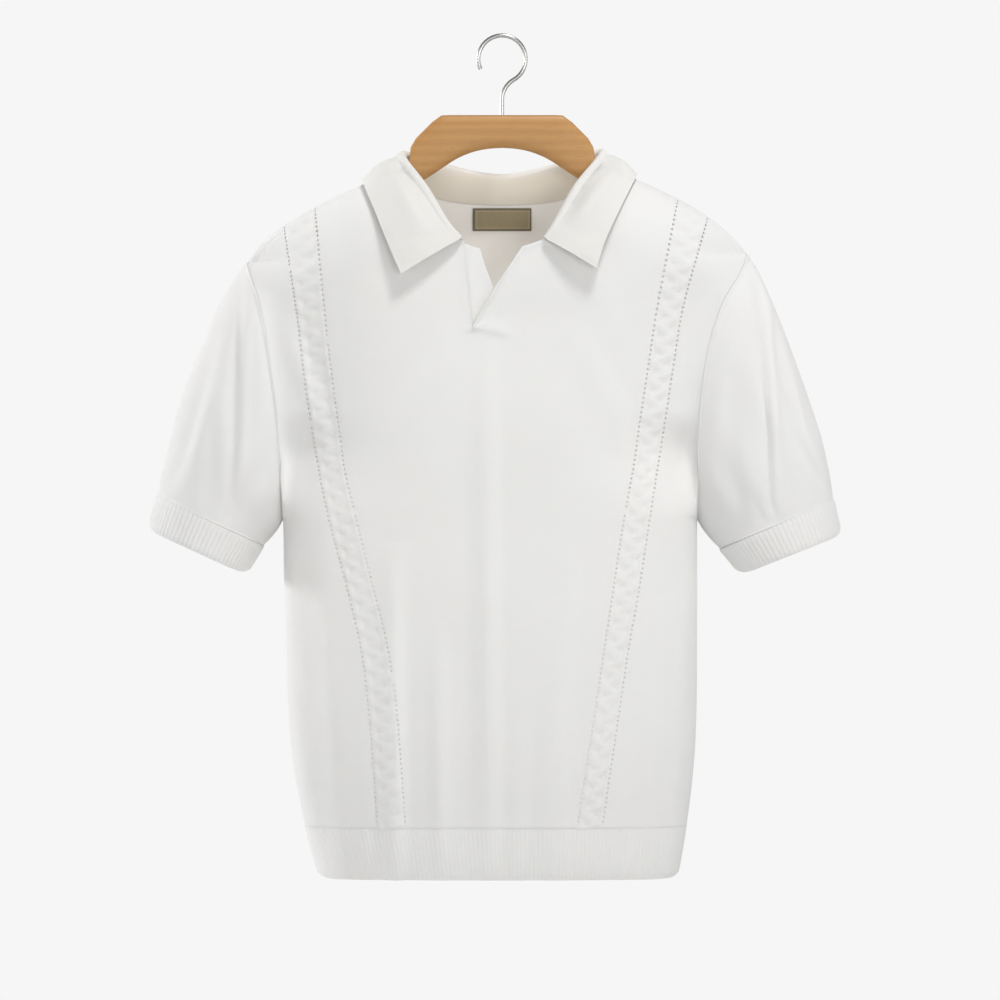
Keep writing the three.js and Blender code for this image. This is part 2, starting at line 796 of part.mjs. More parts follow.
// The hem's rib, front and back: ribs stand out of a plain inner side.
function ribbedHem(facing) {
  const samples = 400;
  const mid = (hemSeam + hemEdge) / 2;
  const lengths = [0];
  for (let i = 1; i <= samples; i += 1) {
    const before = bodyPoint(facing, (Math.PI * (i - 1)) / samples, mid);
    const here = bodyPoint(facing, (Math.PI * i) / samples, mid);
    lengths.push(lengths.at(-1) + here.distanceTo(before));
  }
  const total = lengths.at(-1);
  const angleOf = (share) => {
    const i = Math.min(Math.max(lengths.findIndex((l) => l >= share * total), 1), samples);
    const part = (share * total - lengths[i - 1]) / (lengths[i] - lengths[i - 1]);
    return (Math.PI * (i - 1 + part)) / samples;
  };
  const ribs = Math.round(total / ribPitch);
  const shift = new THREE.Vector3(0, (facing * seamGap) / 2, 0);
  const row = (share, count, depth) => {
    const z = mix(hemSeam - seamGap, hemEdge, share);
    return steps(count).map((key, i) => {
      const angle = angleOf(key);
      const flat = i === 0 || i === count ? "yz" : "z";
      const normal = bodyNormal(facing, angle, z, flat);
      const p = bodyPoint(facing, angle, z).addScaledVector(normal, depth(i)).add(shift);
      return { key, p };
    });
  };
  const outer = steps(2).map((share) => row(share, 2 * ribs, (i) => (i % 2) * ribRise));
  const inner = steps(2).map((share) => row(share, innerCounts.hem, () => -ribWall));
  return wallBetween(outer, inner, false);
}

// Sleeves

// A place along an outline, by its share of the length.
function alongOutline(rows, share) {
  const path = new THREE.CurvePath();
  for (let i = 1; i < rows.length; i += 1) {
    const ends = [rows[i - 1], rows[i]].map((row) => new THREE.Vector3(row.x, 0, row.z));
    path.add(new THREE.LineCurve3(...ends));
  }
  return path.getPointAt(share);
}

// The armhole as a ring, from the armpit up the front and down the back, with the way
// across the seam to the sleeve.
function armholeRing(at, layer) {
  const rising = (columns) => columns.at(at)[layer].filter((node) => node.key >= 1);
  const front = rising(at === 0 ? frontLeft : frontRight);
  const rear = rising(back);
  const nodes = [];
  front.forEach((node, i) => {
    const shared = i === 0 || i === front.length - 1;
    const p = shared ? node.p.clone().lerp(rear[i].p, 0.5) : node.p.clone();
    nodes.push({ key: (node.key - 1) / 4, p });
  });
  for (let i = rear.length - 2; i > 0; i -= 1) {
    nodes.push({ key: 1 - (rear[i].key - 1) / 4, p: rear[i].p.clone() });
  }
  return nodes;
}

function closedLine(nodes) {
  return [...nodes, { key: 1, p: nodes[0].p }];
}

// Moves a ring across its seam, so that it stays parallel to the panel's edge.
function acrossSeam(outerRing, innerRing, toSleeve) {
  const innerLine = closedLine(innerRing);
  const outerLine = closedLine(outerRing);
  const way = (line, key) => {
    const spread = 0.01;
    const ahead = lineAt(line, Math.min(key + spread, 1));
    const tangent = ahead.sub(lineAt(line, Math.max(key - spread, 0))).normalize();
    const wallWay = lineAt(outerLine, key).sub(lineAt(innerLine, key)).normalize();
    return tangent.cross(wallWay).normalize().multiplyScalar(seamGap * toSleeve);
  };
  const moved = (ring) => {
    const line = closedLine(ring);
    return ring.map((node) => ({ key: node.key, p: node.p.clone().add(way(line, node.key)) }));
  };
  return { outer: moved(outerRing), inner: moved(innerRing) };
}

const sleeveDepthAt = through(sleeveDepths, "t", "depth");
const foldReach = 1.1;
const seamFade = 3;

function sleeveFoldAt(key, t) {
  let rise = 0;
  for (const fold of sleeveFolds) {
    const across = (key - fold.turn) / fold.width;
    rise += fold.rise * Math.exp(-across * across);
  }
  return rise * Math.sin(Math.PI * Math.min(t * foldReach, 1)) ** 2;
}

// One oval ring in the plane of a chord and the y axis: the top of the chord is the
// sleeve's outer line, and angles run from the under line by the front.
function ovalPoint(top, foot, depth, angle, out) {
  const middle = top.clone().lerp(foot, 0.5);
  const half = top.clone().sub(middle);
  const length = half.length();
  const direction = half.clone().normalize();
  const along = -Math.cos(angle);
  const forward = Math.sin(angle);
  const normalAlong = along / length;
  const normalForward = forward / depth;
  const size = Math.hypot(normalAlong, normalForward);
  const p = middle.addScaledVector(direction, along * length + (out * normalAlong) / size);
  p.y -= forward * depth + (out * normalForward) / size;
  return p;
}

function sleeveGeometry(name, at, toSleeve) {
  const outline = sleeveOutlines[name];
  const start = acrossSeam(armholeRing(at, "outer"), armholeRing(at, "inner"), toSleeve);
  const top = alongOutline(outline.outer, 0);
  const foot = alongOutline(outline.under, 0);
  const axis = top.clone().sub(foot);
  const ringsOf = (nodes, depth) => {
    const placed = nodes.map(({ key, p }) => {
      const along = (2 * p.clone().sub(foot).dot(axis)) / axis.lengthSq() - 1;
      const turn = Math.acos(Math.min(Math.max(-along, -1), 1));
      const angle = key > 0.5 ? 2 * Math.PI - turn : turn;
      const drift = p.clone().sub(ovalPoint(top, foot, armholeDepth, angle, depth));
      return { key, p, angle, drift };
    });
    return sleeveSteps.map((t) => {
      if (t === 0) {
        return closedLine(placed);
      }
      const high = alongOutline(outline.outer, t);
      const low = alongOutline(outline.under, t);
      const fade = (1 - t) ** seamFade;
      const kept = placed.filter((_, i) => depth === 0 || i % 3 === 0);
      return closedLine(
        kept.map(({ key, angle, drift }) => {
          const out = depth + sleeveFoldAt(key, t);
          const p = ovalPoint(high, low, sleeveDepthAt(t), angle, out);
          return { key, p: p.addScaledVector(drift, fade) };
        }),
      );
    });
  };
  return wallBetween(ringsOf(start.outer, 0), ringsOf(start.inner, -clothWall), true);
}

function cuffGeometry(name) {
  const outline = sleeveOutlines[name];
  const place = ({ x, z }) => new THREE.Vector3(x, 0, z);
  const ends = [
    { top: alongOutline(outline.outer, 1), foot: alongOutline(outline.under, 1) },
    { top: place(outline.cuffOuter), foot: place(outline.cuffUnder) },
  ];
  const way = ends[1].top.clone().sub(ends[0].top).normalize().multiplyScalar(2 * seamGap);
  ends[0].top.add(way);
  ends[0].foot.add(way);
  const depth = sleeveDepthAt(1) - 1;
  const half = ends[1].top.distanceTo(ends[1].foot) / 2;
  const around = 2 * Math.PI * Math.sqrt((half * half + depth * depth) / 2);
  const ribs = Math.round(around / ribPitch);
  const ring = (end, count, out) => {
    return steps(count).map((key, i) => {
      const angle = 2 * Math.PI * (i % count) / count;
      return { key, p: ovalPoint(end.top, end.foot, depth, angle, out(i)) };
    });
  };
  const outer = ends.map((end) => ring(end, 2 * ribs, (i) => (i % 2) * ribRise));
  const inner = ends.map((end) => ring(end, innerCounts.cuff, () => -ribWall));
  return wallBetween(outer, inner, true);
}

// Collar

// The neckline all round as outer and inner lines keyed by turn.
function neckline(layer) {
  const inside = layer === "inner";
  const pick = (columns) => (inside ? innerColumns(columns) : columns);
  const part = (columns, wanted, from, to) => {
    const found = pick(columns).filter(({ place }) => wanted(place));
    const points = found.map((column) => column[layer].at(-1).p);
    const first = found[0].at;
    const span = found.at(-1).at - first;
    return points.map((p, i) => ({ key: mix(from, to, (found[i].at - first) / span), p }));
  };
  const shoulderHere = (place, number) => place.part === number && place.step === place.count;
  const left = part(frontLeft, (p) => p.part === 4 || shoulderHere(p, 3), 1, 0).reverse();
  const rear = part(back, (p) => p.part === 2 || shoulderHere(p, 1), 1, 3);
  const right = part(frontRight, (p) => p.part === 3 || shoulderHere(p, 2), 4, 3).reverse();
  return { left, rear, right };
}

const collarColumn = (name) => through(collarRows, "turn", name);
const rimX = collarColumn("rimX");
const rimY = collarColumn("rimY");
const rimZ = collarColumn("rimZ");
const edgeX = collarColumn("edgeX");
const edgeZ = collarColumn("edgeZ");
const foldRadius = collarColumn("fold");

// Keeps a point of the fall off the body's cloth.
function offBody(p, lift) {
  const facing = p.y < 0 ? -1 : 1;
  const angle = angleAt(p.x, p.z);
  const surface = bodyPoint(facing, angle, Math.min(p.z, shoulderZ(p.x) - 0.5));
  const limit = surface.y + facing * lift;
  if (p.z < shoulderZ(p.x) && facing * (p.y - limit) < 0) {
    p.y = limit;
  }
  return p;
}

// The collar's middle surface at a turn: up the stand, over the fold and down the fall.
function collarPath(turn, seam) {
  const facing = turn > 1 && turn < 3 ? 1 : -1;
  const rim = new THREE.Vector3(rimX(turn), rimY(turn), rimZ(turn));
  const radius = foldRadius(turn);
  const outward = new THREE.Vector3(rim.x, rim.y, 0).normalize();
  const inner = rim.clone().addScaledVector(outward, -radius);
  inner.z -= radius;
  const outer = rim.clone().addScaledVector(outward, radius);
  outer.z -= radius;
  const angle = angleAt(edgeX(turn), edgeZ(turn));
  const edge = bodyPoint(facing, angle, edgeZ(turn));
  const away = bodyNormal(facing, angle, edgeZ(turn));
  edge.addScaledVector(away, collarLift + clothWall);
  const fall = collarForm.fall.map((share) => {
    const p = outer.clone().lerp(edge, share);
    p.addScaledVector(away, collarForm.bow * Math.sin(Math.PI * share));
    return offBody(p, collarLift + clothWall + collarForm.standOff);
  });
  const bulge = radius * collarForm.round;
  const shoulder = inner.clone().lerp(rim, 0.5).addScaledVector(outward, -bulge);
  const crown = outer.clone().lerp(rim, 0.5).addScaledVector(outward, bulge);
  const stand = seam.clone().lerp(inner, collarForm.stand);
  return [seam, stand, inner, shoulder, rim, crown, outer, ...fall, edge];
}

function collarStations() {
  const outerNeck = neckline("outer");
  const innerNeck = neckline("inner");
  const stations = [];
  for (const part of ["left", "rear", "right"]) {
    for (const { key } of outerNeck[part]) {
      const onOuter = lineAt(outerNeck[part], key);
      const onInner = lineAt(innerNeck[part], key);
      stations.push({ key, onOuter, onInner });
    }
  }
  return stations;
}

function sidesOf(paths) {
  const rows = paths.length;
  const columns = paths[0].length;
  return paths.map((path, i) => {
    return path.map((p, j) => {
      const along = paths[Math.min(i + 1, rows - 1)][j].clone();
      along.sub(paths[Math.max(i - 1, 0)][j]);
      const down = path[Math.min(j + 1, columns - 1)].clone();
      down.sub(path[Math.max(j - 1, 0)]);
      return along.cross(down).normalize().multiplyScalar(clothWall / 2);
    });
  });
}

// The station at a turn between two known ones.
function stationBetween(stations, key) {
  const next = stations.findIndex((station) => station.key > key);
  const [a, b] = stations.slice(next - 1, next + 1);
  const share = (key - a.key) / (b.key - a.key);
  return {
    key,
    onOuter: a.onOuter.clone().lerp(b.onOuter, share),
    onInner: a.onInner.clone().lerp(b.onInner, share),
  };
}

// The collar's stations from one turn to another, raised off the edge that they are sewn to.
function raisedStations(from, to) {
  const stations = collarStations();
  const merged = stations.filter((station, i) => {
    return i === 0 || station.key - stations[i - 1].key > 1e-6;
  });
  const full = [];
  merged.forEach((station, i) => {
    full.push(station);
    const next = merged[i + 1];
    if (next) {
      full.push({
        key: (station.key + next.key) / 2,
        onOuter: station.onOuter.clone().lerp(next.onOuter, 0.5),
        onInner: station.onInner.clone().lerp(next.onInner, 0.5),
      });
    }
  });
  full.forEach((station, i) => {
    const before = full[Math.max(i - 1, 0)].onOuter;
    const after = full[Math.min(i + 1, full.length - 1)].onOuter;
    const tangent = after.clone().sub(before).normalize();
    const across = station.onOuter.clone().sub(station.onInner).normalize();
    const up = tangent.cross(across).normalize();
    const lift = up.multiplyScalar(collarGap * (up.z < 0 ? -1 : 1));
    station.onOuter = station.onOuter.clone().add(lift);
    station.onInner = station.onInner.clone().add(lift);
  });
  const kept = full.filter((station) => station.key > from && station.key < to);
  const last = merged.at(-1).key;
  const start = from > 0 ? stationBetween(full, from) : full[0];
  const end = to < last ? stationBetween(full, to) : full.at(-1);
  return [start, ...kept, end];
}

function collarGeometry(from, to) {
  const full = raisedStations(from, to);
  const paths = full.map(({ key, onOuter, onInner }) => {
    return collarPath(key, onOuter.clone().lerp(onInner, 0.5));
  });
  const sides = sidesOf(paths);
  const layer = (sign) => {
    return paths.map((path, i) => {
      return path.map((p, j) => ({ key: j, p: p.clone().addScaledVector(sides[i][j], sign) }));
    });
  };
  const faces = [layer(1), layer(-1)];
  const nearInside = faces[0][0][0].p.distanceTo(full[0].onInner);
  const flip = nearInside > faces[1][0][0].p.distanceTo(full[0].onInner);
  const [neckSide, bodySide] = flip ? [faces[1], faces[0]] : faces;
  full.forEach((station, i) => {
    neckSide[i][0].p = station.onInner;
    bodySide[i][0].p = station.onOuter;
  });
  return wallBetween(bodySide, neckSide, false);
}

// Label, hanger and hook

function labelGeometry() {
  const rings = steps(8, -label.width / 2, label.width / 2).map((x) => {
    const corner = (z, depth) => {
      const angle = angleAt(x, z);
      const p = bodyPoint(1, angle, z);
      return p.addScaledVector(bodyNormal(1, angle, z), -depth);
    };
    const near = clothWall + label.gap;
    const foot = label.top - label.height;
    return [
      corner(label.top, near),
      corner(foot, near),
      corner(foot, near + label.thick),
      corner(label.top, near + label.thick),
    ];
  });
  return solidThrough(rings);
}

function hangerGeometry() {
  const top = between(hangerRows, "x", "top");
  const bottom = between(hangerRows, "x", "bottom");
  const thick = between(hangerRows, "x", "thick");
  const sides = 12;
  const places = hangerRows.map((row) => row.x);
  const all = [...places.slice(1).reverse().map((x) => -x), ...places];
  const rings = all.map((x) => {
    const reach = Math.abs(x);
    const middle = (top(reach) + bottom(reach)) / 2;
    const half = (top(reach) - bottom(reach)) / 2;
    return steps(sides)
      .slice(0, sides)
      .map((share) => {
        const angle = 2 * Math.PI * share;
        const y = (signedPower(Math.cos(angle), hangerPower) * thick(reach)) / 2;
        return new THREE.Vector3(x, y, middle + half * signedPower(Math.sin(angle), hangerPower));
      });
  });
  return solidThrough(rings);
}

// The hook's middle line: a round loop, a counter bend and a straight foot.
function hookGeometry() {
  const radius = hook.inside + hook.wire / 2;
  const centreZ = -hook.inside;
  const degree = Math.PI / 180;
  const path = steps(20, hook.openAt, hook.turnAt).map((turn) => {
    const angle = turn * degree;
    return { x: radius * Math.cos(angle), z: centreZ + radius * Math.sin(angle), angle };
  });
  const end = path.at(-1);
  const sweep = Math.PI / 2 + hook.turnAt * degree;
  const bend = end.x / (1 - Math.cos(Math.PI / 2 - sweep));
  const turned = Math.PI / 2 - sweep;
  for (const share of steps(5).slice(1)) {
    const left = turned * (1 - share);
    const x = bend * (1 - Math.cos(left));
    const z = end.z - bend * (Math.sin(turned) - Math.sin(left));
    path.push({ x, z, angle: -left });
  }
  path.push({ x: 0, z: hook.foot, angle: 0 });
  const sides = 8;
  const rings = path.map(({ x, z, angle }) => {
    return steps(sides)
      .slice(0, sides)
      .map((share) => {
        const around = 2 * Math.PI * share;
        const away = (Math.cos(around) * hook.wire) / 2;
        const y = (Math.sin(around) * hook.wire) / 2;
        return new THREE.Vector3(x + away * Math.cos(angle), y, z + away * Math.sin(angle));
      });
  });
  return solidThrough(rings);
}

// The shirt on its hanger

const shirt = new THREE.Group();

function add(name, geometry, colour, roughness, metalness = 0) {
  const material = new THREE.MeshStandardMaterial({ color: colour, roughness, metalness });
  const mesh = new THREE.Mesh(geometry, material);
  mesh.name = name;
  shirt.add(mesh);
}

add("front", frontGeometry(), colours.cloth, 0.9);
add("placket_under", underlapGeometry(), colours.cloth, 0.9);
add("back", backGeometry(), colours.cloth, 0.9);
add("sleeve_a", sleeveGeometry("sleeve_a", 0, -1), colours.cloth, 0.9);
add("sleeve_b", sleeveGeometry("sleeve_b", -1, 1), colours.cloth, 0.9);
add("cuff_a", cuffGeometry("sleeve_a"), colours.cloth, 0.9);
add("cuff_b", cuffGeometry("sleeve_b"), colours.cloth, 0.9);
add("hem_front", ribbedHem(-1), colours.cloth, 0.9);
add("hem_back", ribbedHem(1), colours.cloth, 0.9);
add("collar_a", collarGeometry(0, collarSplit.left), colours.cloth, 0.9);
add("collar_b", collarGeometry(collarSplit.right, 4), colours.cloth, 0.9);
add("label", labelGeometry(), colours.label, 0.85);
add("hanger", hangerGeometry(), colours.wood, 0.45);
add("hook", hookGeometry(), colours.metal, 0.25, 1);

export default shirt;
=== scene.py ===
import math

import bpy
import numpy as np
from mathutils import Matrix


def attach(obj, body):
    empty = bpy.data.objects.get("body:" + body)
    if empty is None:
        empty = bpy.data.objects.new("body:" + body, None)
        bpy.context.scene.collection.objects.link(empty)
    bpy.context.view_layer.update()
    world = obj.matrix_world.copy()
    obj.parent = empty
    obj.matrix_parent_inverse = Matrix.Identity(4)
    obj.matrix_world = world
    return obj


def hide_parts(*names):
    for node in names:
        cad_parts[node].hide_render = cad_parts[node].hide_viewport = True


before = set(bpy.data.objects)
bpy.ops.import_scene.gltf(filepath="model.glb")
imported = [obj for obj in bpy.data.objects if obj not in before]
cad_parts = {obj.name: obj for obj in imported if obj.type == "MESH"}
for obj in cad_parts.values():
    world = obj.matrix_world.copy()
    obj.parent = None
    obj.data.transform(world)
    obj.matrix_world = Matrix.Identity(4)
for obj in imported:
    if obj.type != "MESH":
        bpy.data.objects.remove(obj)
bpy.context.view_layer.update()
mm = 0.001

# Camera: far away and level, as the picture was taken
cameraSet = {"distance": 8.0, "frameWidth": 0.93, "x": -0.0019, "z": -0.43, "sensor": 36}
bpy.ops.object.camera_add(
    location=(cameraSet["x"], -cameraSet["distance"], cameraSet["z"]),
    rotation=(math.pi / 2, 0, 0),
)
camera = bpy.context.object
camera.name = "camera"
camera.data.sensor_width = cameraSet["sensor"]
camera.data.lens = cameraSet["sensor"] * cameraSet["distance"] / cameraSet["frameWidth"]
camera.data.clip_end = 60
bpy.context.scene.camera = camera
print("camera placed")


# Tables and lines

def mix(a, b, share):
    return a + (b - a) * share


def smooth(share):
    s = np.clip(share, 0, 1)
    return s * s * (3 - 2 * s)


def through(keys, values):  # a smooth line through a table's rows
    keys = np.array(keys, float)
    values = np.array(values, float)
    slopes = np.empty(len(keys))
    slopes[1:-1] = (values[2:] - values[:-2]) / (keys[2:] - keys[:-2])
    slopes[0] = (values[1] - values[0]) / (keys[1] - keys[0])
    slopes[-1] = (values[-1] - values[-2]) / (keys[-1] - keys[-2])

    def at(key):
        key = np.asarray(key, float)
        i = np.clip(np.searchsorted(keys, key, side="right") - 1, 0, len(keys) - 2)
        span = keys[i + 1] - keys[i]
        s = np.clip((key - keys[i]) / span, 0, 1)
        inside = (
            values[i] * (2 * s**3 - 3 * s**2 + 1)
            + slopes[i] * span * (s**3 - 2 * s**2 + s)
            + values[i + 1] * (3 * s**2 - 2 * s**3)
            + slopes[i + 1] * span * (s**3 - s**2)
        )
        before = np.minimum(key - keys[0], 0) * slopes[0]
        after = np.maximum(key - keys[-1], 0) * slopes[-1]
        return inside + before + after

    return at


def bell(value):
    return np.exp(-(value**2))


def signedPower(value, power):
    return np.sign(value) * np.abs(value) ** power


def lengthsOf(points):  # the length along a line up to each of its points
    return np.append(0, np.cumsum(np.linalg.norm(np.diff(points, axis=0), axis=1)))


def toSegment(x, z, a, b):  # the nearest point's share of the way from a to b, and the way to it
    way = b - a
    share = np.clip(((x - a[0]) * way[0] + (z - a[1]) * way[1]) / (way @ way), 0, 1)
    return share, x - a[0] - way[0] * share, z - a[1] - way[1] * share


# The body's form, in millimetres, the same as the solids have

bodyForm = {
    "z": [-781, -760, -733, -690, -640, -541, -447, -365, -300, -250, -205, -120],
    "left": [-170, -176, -183, -192, -198, -202, -203.7, -208, -216, -224.5, -238, -248],
    "right": [163, 167, 171.5, 177, 180.5, 181.5, 181.4, 181.8, 189, 203, 227, 240],
    "front": [70, 74, 77, 81, 82, 77, 69, 65, 61, 57, 52, 42],
    "back": [64, 68, 70, 74, 75, 70, 62, 56, 52, 48, 45, 40],
    "power": 2.6, "chestPower": 3.2, "chestRise": 70, "shoulderRoll": 70, "wall": 1.8,
    "armholeDepth": 32, "armholePower": 2.4, "armholeReach": 9,
    "armpitReach": 45, "armpitRise": 100,  # near the armpit the edge turns in more sharply
    "hemEdge": -781, "hemSeam": -733, "armpit": -447, "notch": -271,
}
shoulderLine = {
    "x": [-236.2, -223, -201.8, -175.8, -126.5, -95, -50, 0, 50, 95, 122.8, 165.5, 193.4,
          216.7, 228.8],
    "z": [-208.7, -191, -174.3, -158.5, -135.2, -121, -103, -92, -101, -118, -130.6, -151,
          -167.8, -188.3, -202.2],
}
neckForm = {
    "half": 99,
    "frontX": [36, 50, 66, 80, 91],
    "frontZ": [-189.5, -186.5, -178, -163, -145],
    "backX": [0, 30, 56, 81],
    "backZ": [-155, -153.5, -149.5, -140],
    "frontEnd": -189.5, "endLeft": -35.5, "endRight": 38,
}
flapForm = {
    "x": [-27, -5.6, 18.6, 38],
    "z": [-271, -232, -195.7, -189.5],
    "slitFoot": -27, "slitHem": -12,
    "edge": 4.5, "edgeRise": 0.7, "edgeSoft": 1.2,  # the edge's border
    "dent": 5.0, "dentX": 25, "dentZ": -268,  # depth and middle of the hollow below the collar
    "dentWide": 62, "dentAbove": 38, "dentBelow": 75,
}
footSeam = {  # from the slit's foot to its end, how far it falls, its relief
    "end": 4, "fall": 8, "fallEnd": 1.5, "rise": 1.3,
    "soft": 0.8, "reach": 16, "fade": 14, "startFade": 0.06, "stop": 1.25, "stopFade": 0.4,
}
eyeletLines = {
    "z": [-733, -624, -568, -512, -456, -400, -307, -252, -177, -140],
    "leftOut": [-115, -123, -130, -143, -158, -170, -184, -191, -202.5, -208.5],
    "leftIn": [-89, -97, -104.5, -118.5, -132.5, -145.5, -158.5, -164.5, -172, -176],
    "rightIn": [69, 85.5, 94, 102.5, 111, 121, 135, 143.5, 158, 165.5],
    "rightOut": [92, 108, 116.5, 126.5, 135, 144, 158.5, 167.5, 188.5, 199.5],
    "cell": 2.2,
    "holes": [(-260, 1.6), (-420, 1.45), (-600, 1.2), (-740, 1.1)],  # foot and radius
    "rim": 0.35, "rimAt": 2.9, "rimWidth": 1.1,
}
cutLines = {
    "shoulderLeft": (-99, -54),
    "flapTop": (18.6, 12),
    "collarEnd": (38, 26),
    "shoulderRight": (99, 47),
}
frontFolds = [  # top x, top z, foot x, foot z, width, rise
    (-14, -262, -10, -790, 13, 2.6),
    (-99, -470, -100, -790, 14, 3.6),
    (-58, -570, -57, -770, 12, 2.6),
    (42, -520, 38, -780, 18, 1.8),
    (-199, -225, -190, -450, 12, 3.0),
    (172, -300, 168, -470, 11, 3.0),
]
backFolds = [
    (-120, -420, -112, -790, 18, 5.0),
    (-52, -350, -58, -790, 20, 4.0),
    (36, -460, 30, -790, 17, 4.5),
    (104, -390, 98, -790, 20, 5.0),
]

bodyLeft, bodyRight, frontDepth, backDepth = (
    through(bodyForm["z"], bodyForm[key]) for key in ("left", "right", "front", "back")
)
shoulderZ = through(shoulderLine["x"], shoulderLine["z"])
tipLeft = (shoulderLine["x"][0], shoulderLine["z"][0])
tipRight = (shoulderLine["x"][-1], shoulderLine["z"][-1])


def centreX(z):
    return (bodyLeft(z) + bodyRight(z)) / 2


def halfWidth(z):
    return (bodyRight(z) - bodyLeft(z)) / 2


def angleAt(x, z):
    share = np.clip((x - centreX(z)) / halfWidth(z), -1, 1)
    return np.arccos(-signedPower(share, bodyForm["power"] / 2))


def armholeY(side, z):
    tip = np.where(side < 0, tipLeft[1], tipRight[1])
    armpit = bodyForm["armpit"]
    share = np.clip(np.abs((2 * z - armpit - tip) / (tip - armpit)), 0, 1)
    power = bodyForm["armholePower"]
    return bodyForm["armholeDepth"] * (1 - share**power) ** (1 / power)


def foldsAt(folds, x, z):
    rise = np.zeros(np.broadcast(x, z).shape)
    for topX, topZ, footX, footZ, width, height in folds:
        share = np.clip((z - footZ) / (topZ - footZ), 0, 1)
        across = (x - mix(footX, topX, share)) / width
        rise = rise + height * bell(across) * np.sqrt(
            np.abs(np.sin(np.pi * share))
        ) * ((share > 0) & (share < 1))
    return rise


def bodyPoint(facing, angle, z):
    z = np.asarray(z, float)
    share = -signedPower(np.cos(angle), 2 / bodyForm["power"])
    x = centreX(z) + halfWidth(z) * share
    deep = frontDepth(z) if facing < 0 else backDepth(z)
    folds = frontFolds if facing < 0 else backFolds
    chest = smooth((z - bodyForm["armpit"]) / bodyForm["chestRise"])
    oval = np.abs(np.sin(angle)) ** (2 / bodyForm["power"])
    spread = 1 - np.abs(share) ** bodyForm["chestPower"]
    rounding = mix(oval, spread, chest)
    edge = armholeY(share, z)
    below = shoulderZ(x) - z
    rolled = np.clip(np.abs(below) / bodyForm["shoulderRoll"], 0, 1)
    roll = np.sign(below) * np.sqrt(np.maximum(1 - (1 - rolled) ** 2, 0))
    reach = bodyForm["armholeReach"] + bodyForm["armpitReach"] * (
        1 - smooth((z - bodyForm["armpit"]) / bodyForm["armpitRise"])
    )
    near = np.abs(share) ** reach
    full = edge * near + (deep + foldsAt(folds, x, z)) * rounding
    return np.stack(np.broadcast_arrays(x, facing * full * roll, z), axis=-1)


# Creases, listed

bodyCreases = {  # lines of (x, z), width, rise, how far a trough follows beside them
    "front": [
        ([(-15, -285), (-12, -520), (-12, -700), (-10, -812)], 8, 2.2, 0.9),
        ([(-101, -480), (-99, -640), (-98, -812)], 8, 2.6, 1.1),
        ([(-58, -540), (-57, -660), (-56, -800)], 7, 1.6, 0.9),
        ([(-196, -470), (-186, -600), (-174, -760)], 9, 2.0, 1.2),
        ([(-168, -430), (-160, -560), (-146, -790)], 9, 1.8, 0.9),
        ([(-132, -620), (-128, -800)], 7, 1.2, 1.0),
        ([(-32, -540), (-34, -800)], 8, -1.2, 0.0),
        ([(18, -600), (10, -800)], 9, 1.3, 0.8),
        ([(62, -470), (52, -640), (48, -810)], 11, 1.7, 0.7),
        ([(146, -520), (140, -640), (132, -800)], 10, 2.0, 1.0),
        ([(168, -500), (163, -620), (154, -780)], 7, 1.8, 1.0),
        ([(-60, -300), (-120, -372), (-168, -430)], 12, 1.4, 0.7),
        ([(-206, -258), (-178, -330), (-160, -400)], 9, 2.0, 1.0),
        ([(196, -262), (168, -330), (150, -410)], 9, 1.9, 1.0),
        ([(58, -262), (96, -330), (128, -420)], 13, 1.3, 0.7),
    ],
    "back": [
        ([(-196, -470), (-180, -600), (-170, -790)], 9, 2.2, 1.2),
        ([(-90, -300), (-140, -370), (-176, -440)], 12, 1.6, 0.8),
        ([(70, -290), (120, -360), (158, -440)], 12, 1.6, 0.8),
        ([(-20, -420), (-12, -560), (-18, -800)], 11, 1.9, 0.8),
        ([(72, -480), (66, -600), (62, -810)], 9, 1.9, 1.0),
        ([(150, -500), (144, -610), (136, -790)], 9, 2.0, 1.0),
        ([(-84, -540), (-86, -805)], 8, 1.7, 0.8),
        ([(-205, -262), (-176, -330), (-158, -420)], 9, 1.6, 1.0),
        ([(192, -262), (166, -330), (148, -420)], 9, 1.6, 1.0),
    ],
}
creaseForm = {"troughDepth": 0.6, "troughAt": 1.5, "troughWidth": 0.9, "taper": 0.7}


def creaseRelief(points, creases):
    relief = np.zeros(points.shape[:2])
    x, z = points[..., 0], points[..., 2]
    for line, width, rise, trough in creases:
        path = np.array(line, float)
        marks = lengthsOf(path) / lengthsOf(path)[-1]
        nearest = np.full(x.shape, 1e9)
        side = np.zeros(x.shape)
        along = np.zeros(x.shape)
        for a, b, low, high in zip(path[:-1], path[1:], marks[:-1], marks[1:]):
            share, dx, dz = toSegment(x, z, a, b)
            away = np.hypot(dx, dz)
            closer = away < nearest
            nearest = np.where(closer, away, nearest)
            side = np.where(closer, np.sign((b[0] - a[0]) * dz - (b[1] - a[1]) * dx), side)
            along = np.where(closer, mix(low, high, share), along)
        d = nearest * side / width
        beside = bell((d - creaseForm["troughAt"]) / creaseForm["troughWidth"])
        profile = bell(d) - trough * creaseForm["troughDepth"] * beside
        relief += rise * profile * np.sin(np.pi * along) ** creaseForm["taper"]
    return relief


# Mesh helpers

def alongArcs(points, axis):  # lengths along the rows or the columns of a grid of points
    steps = np.linalg.norm(np.diff(points, axis=axis), axis=-1)
    pad = [(0, 0), (0, 0)]
    pad[axis] = (1, 0)
    return np.cumsum(np.pad(steps, pad), axis=axis)


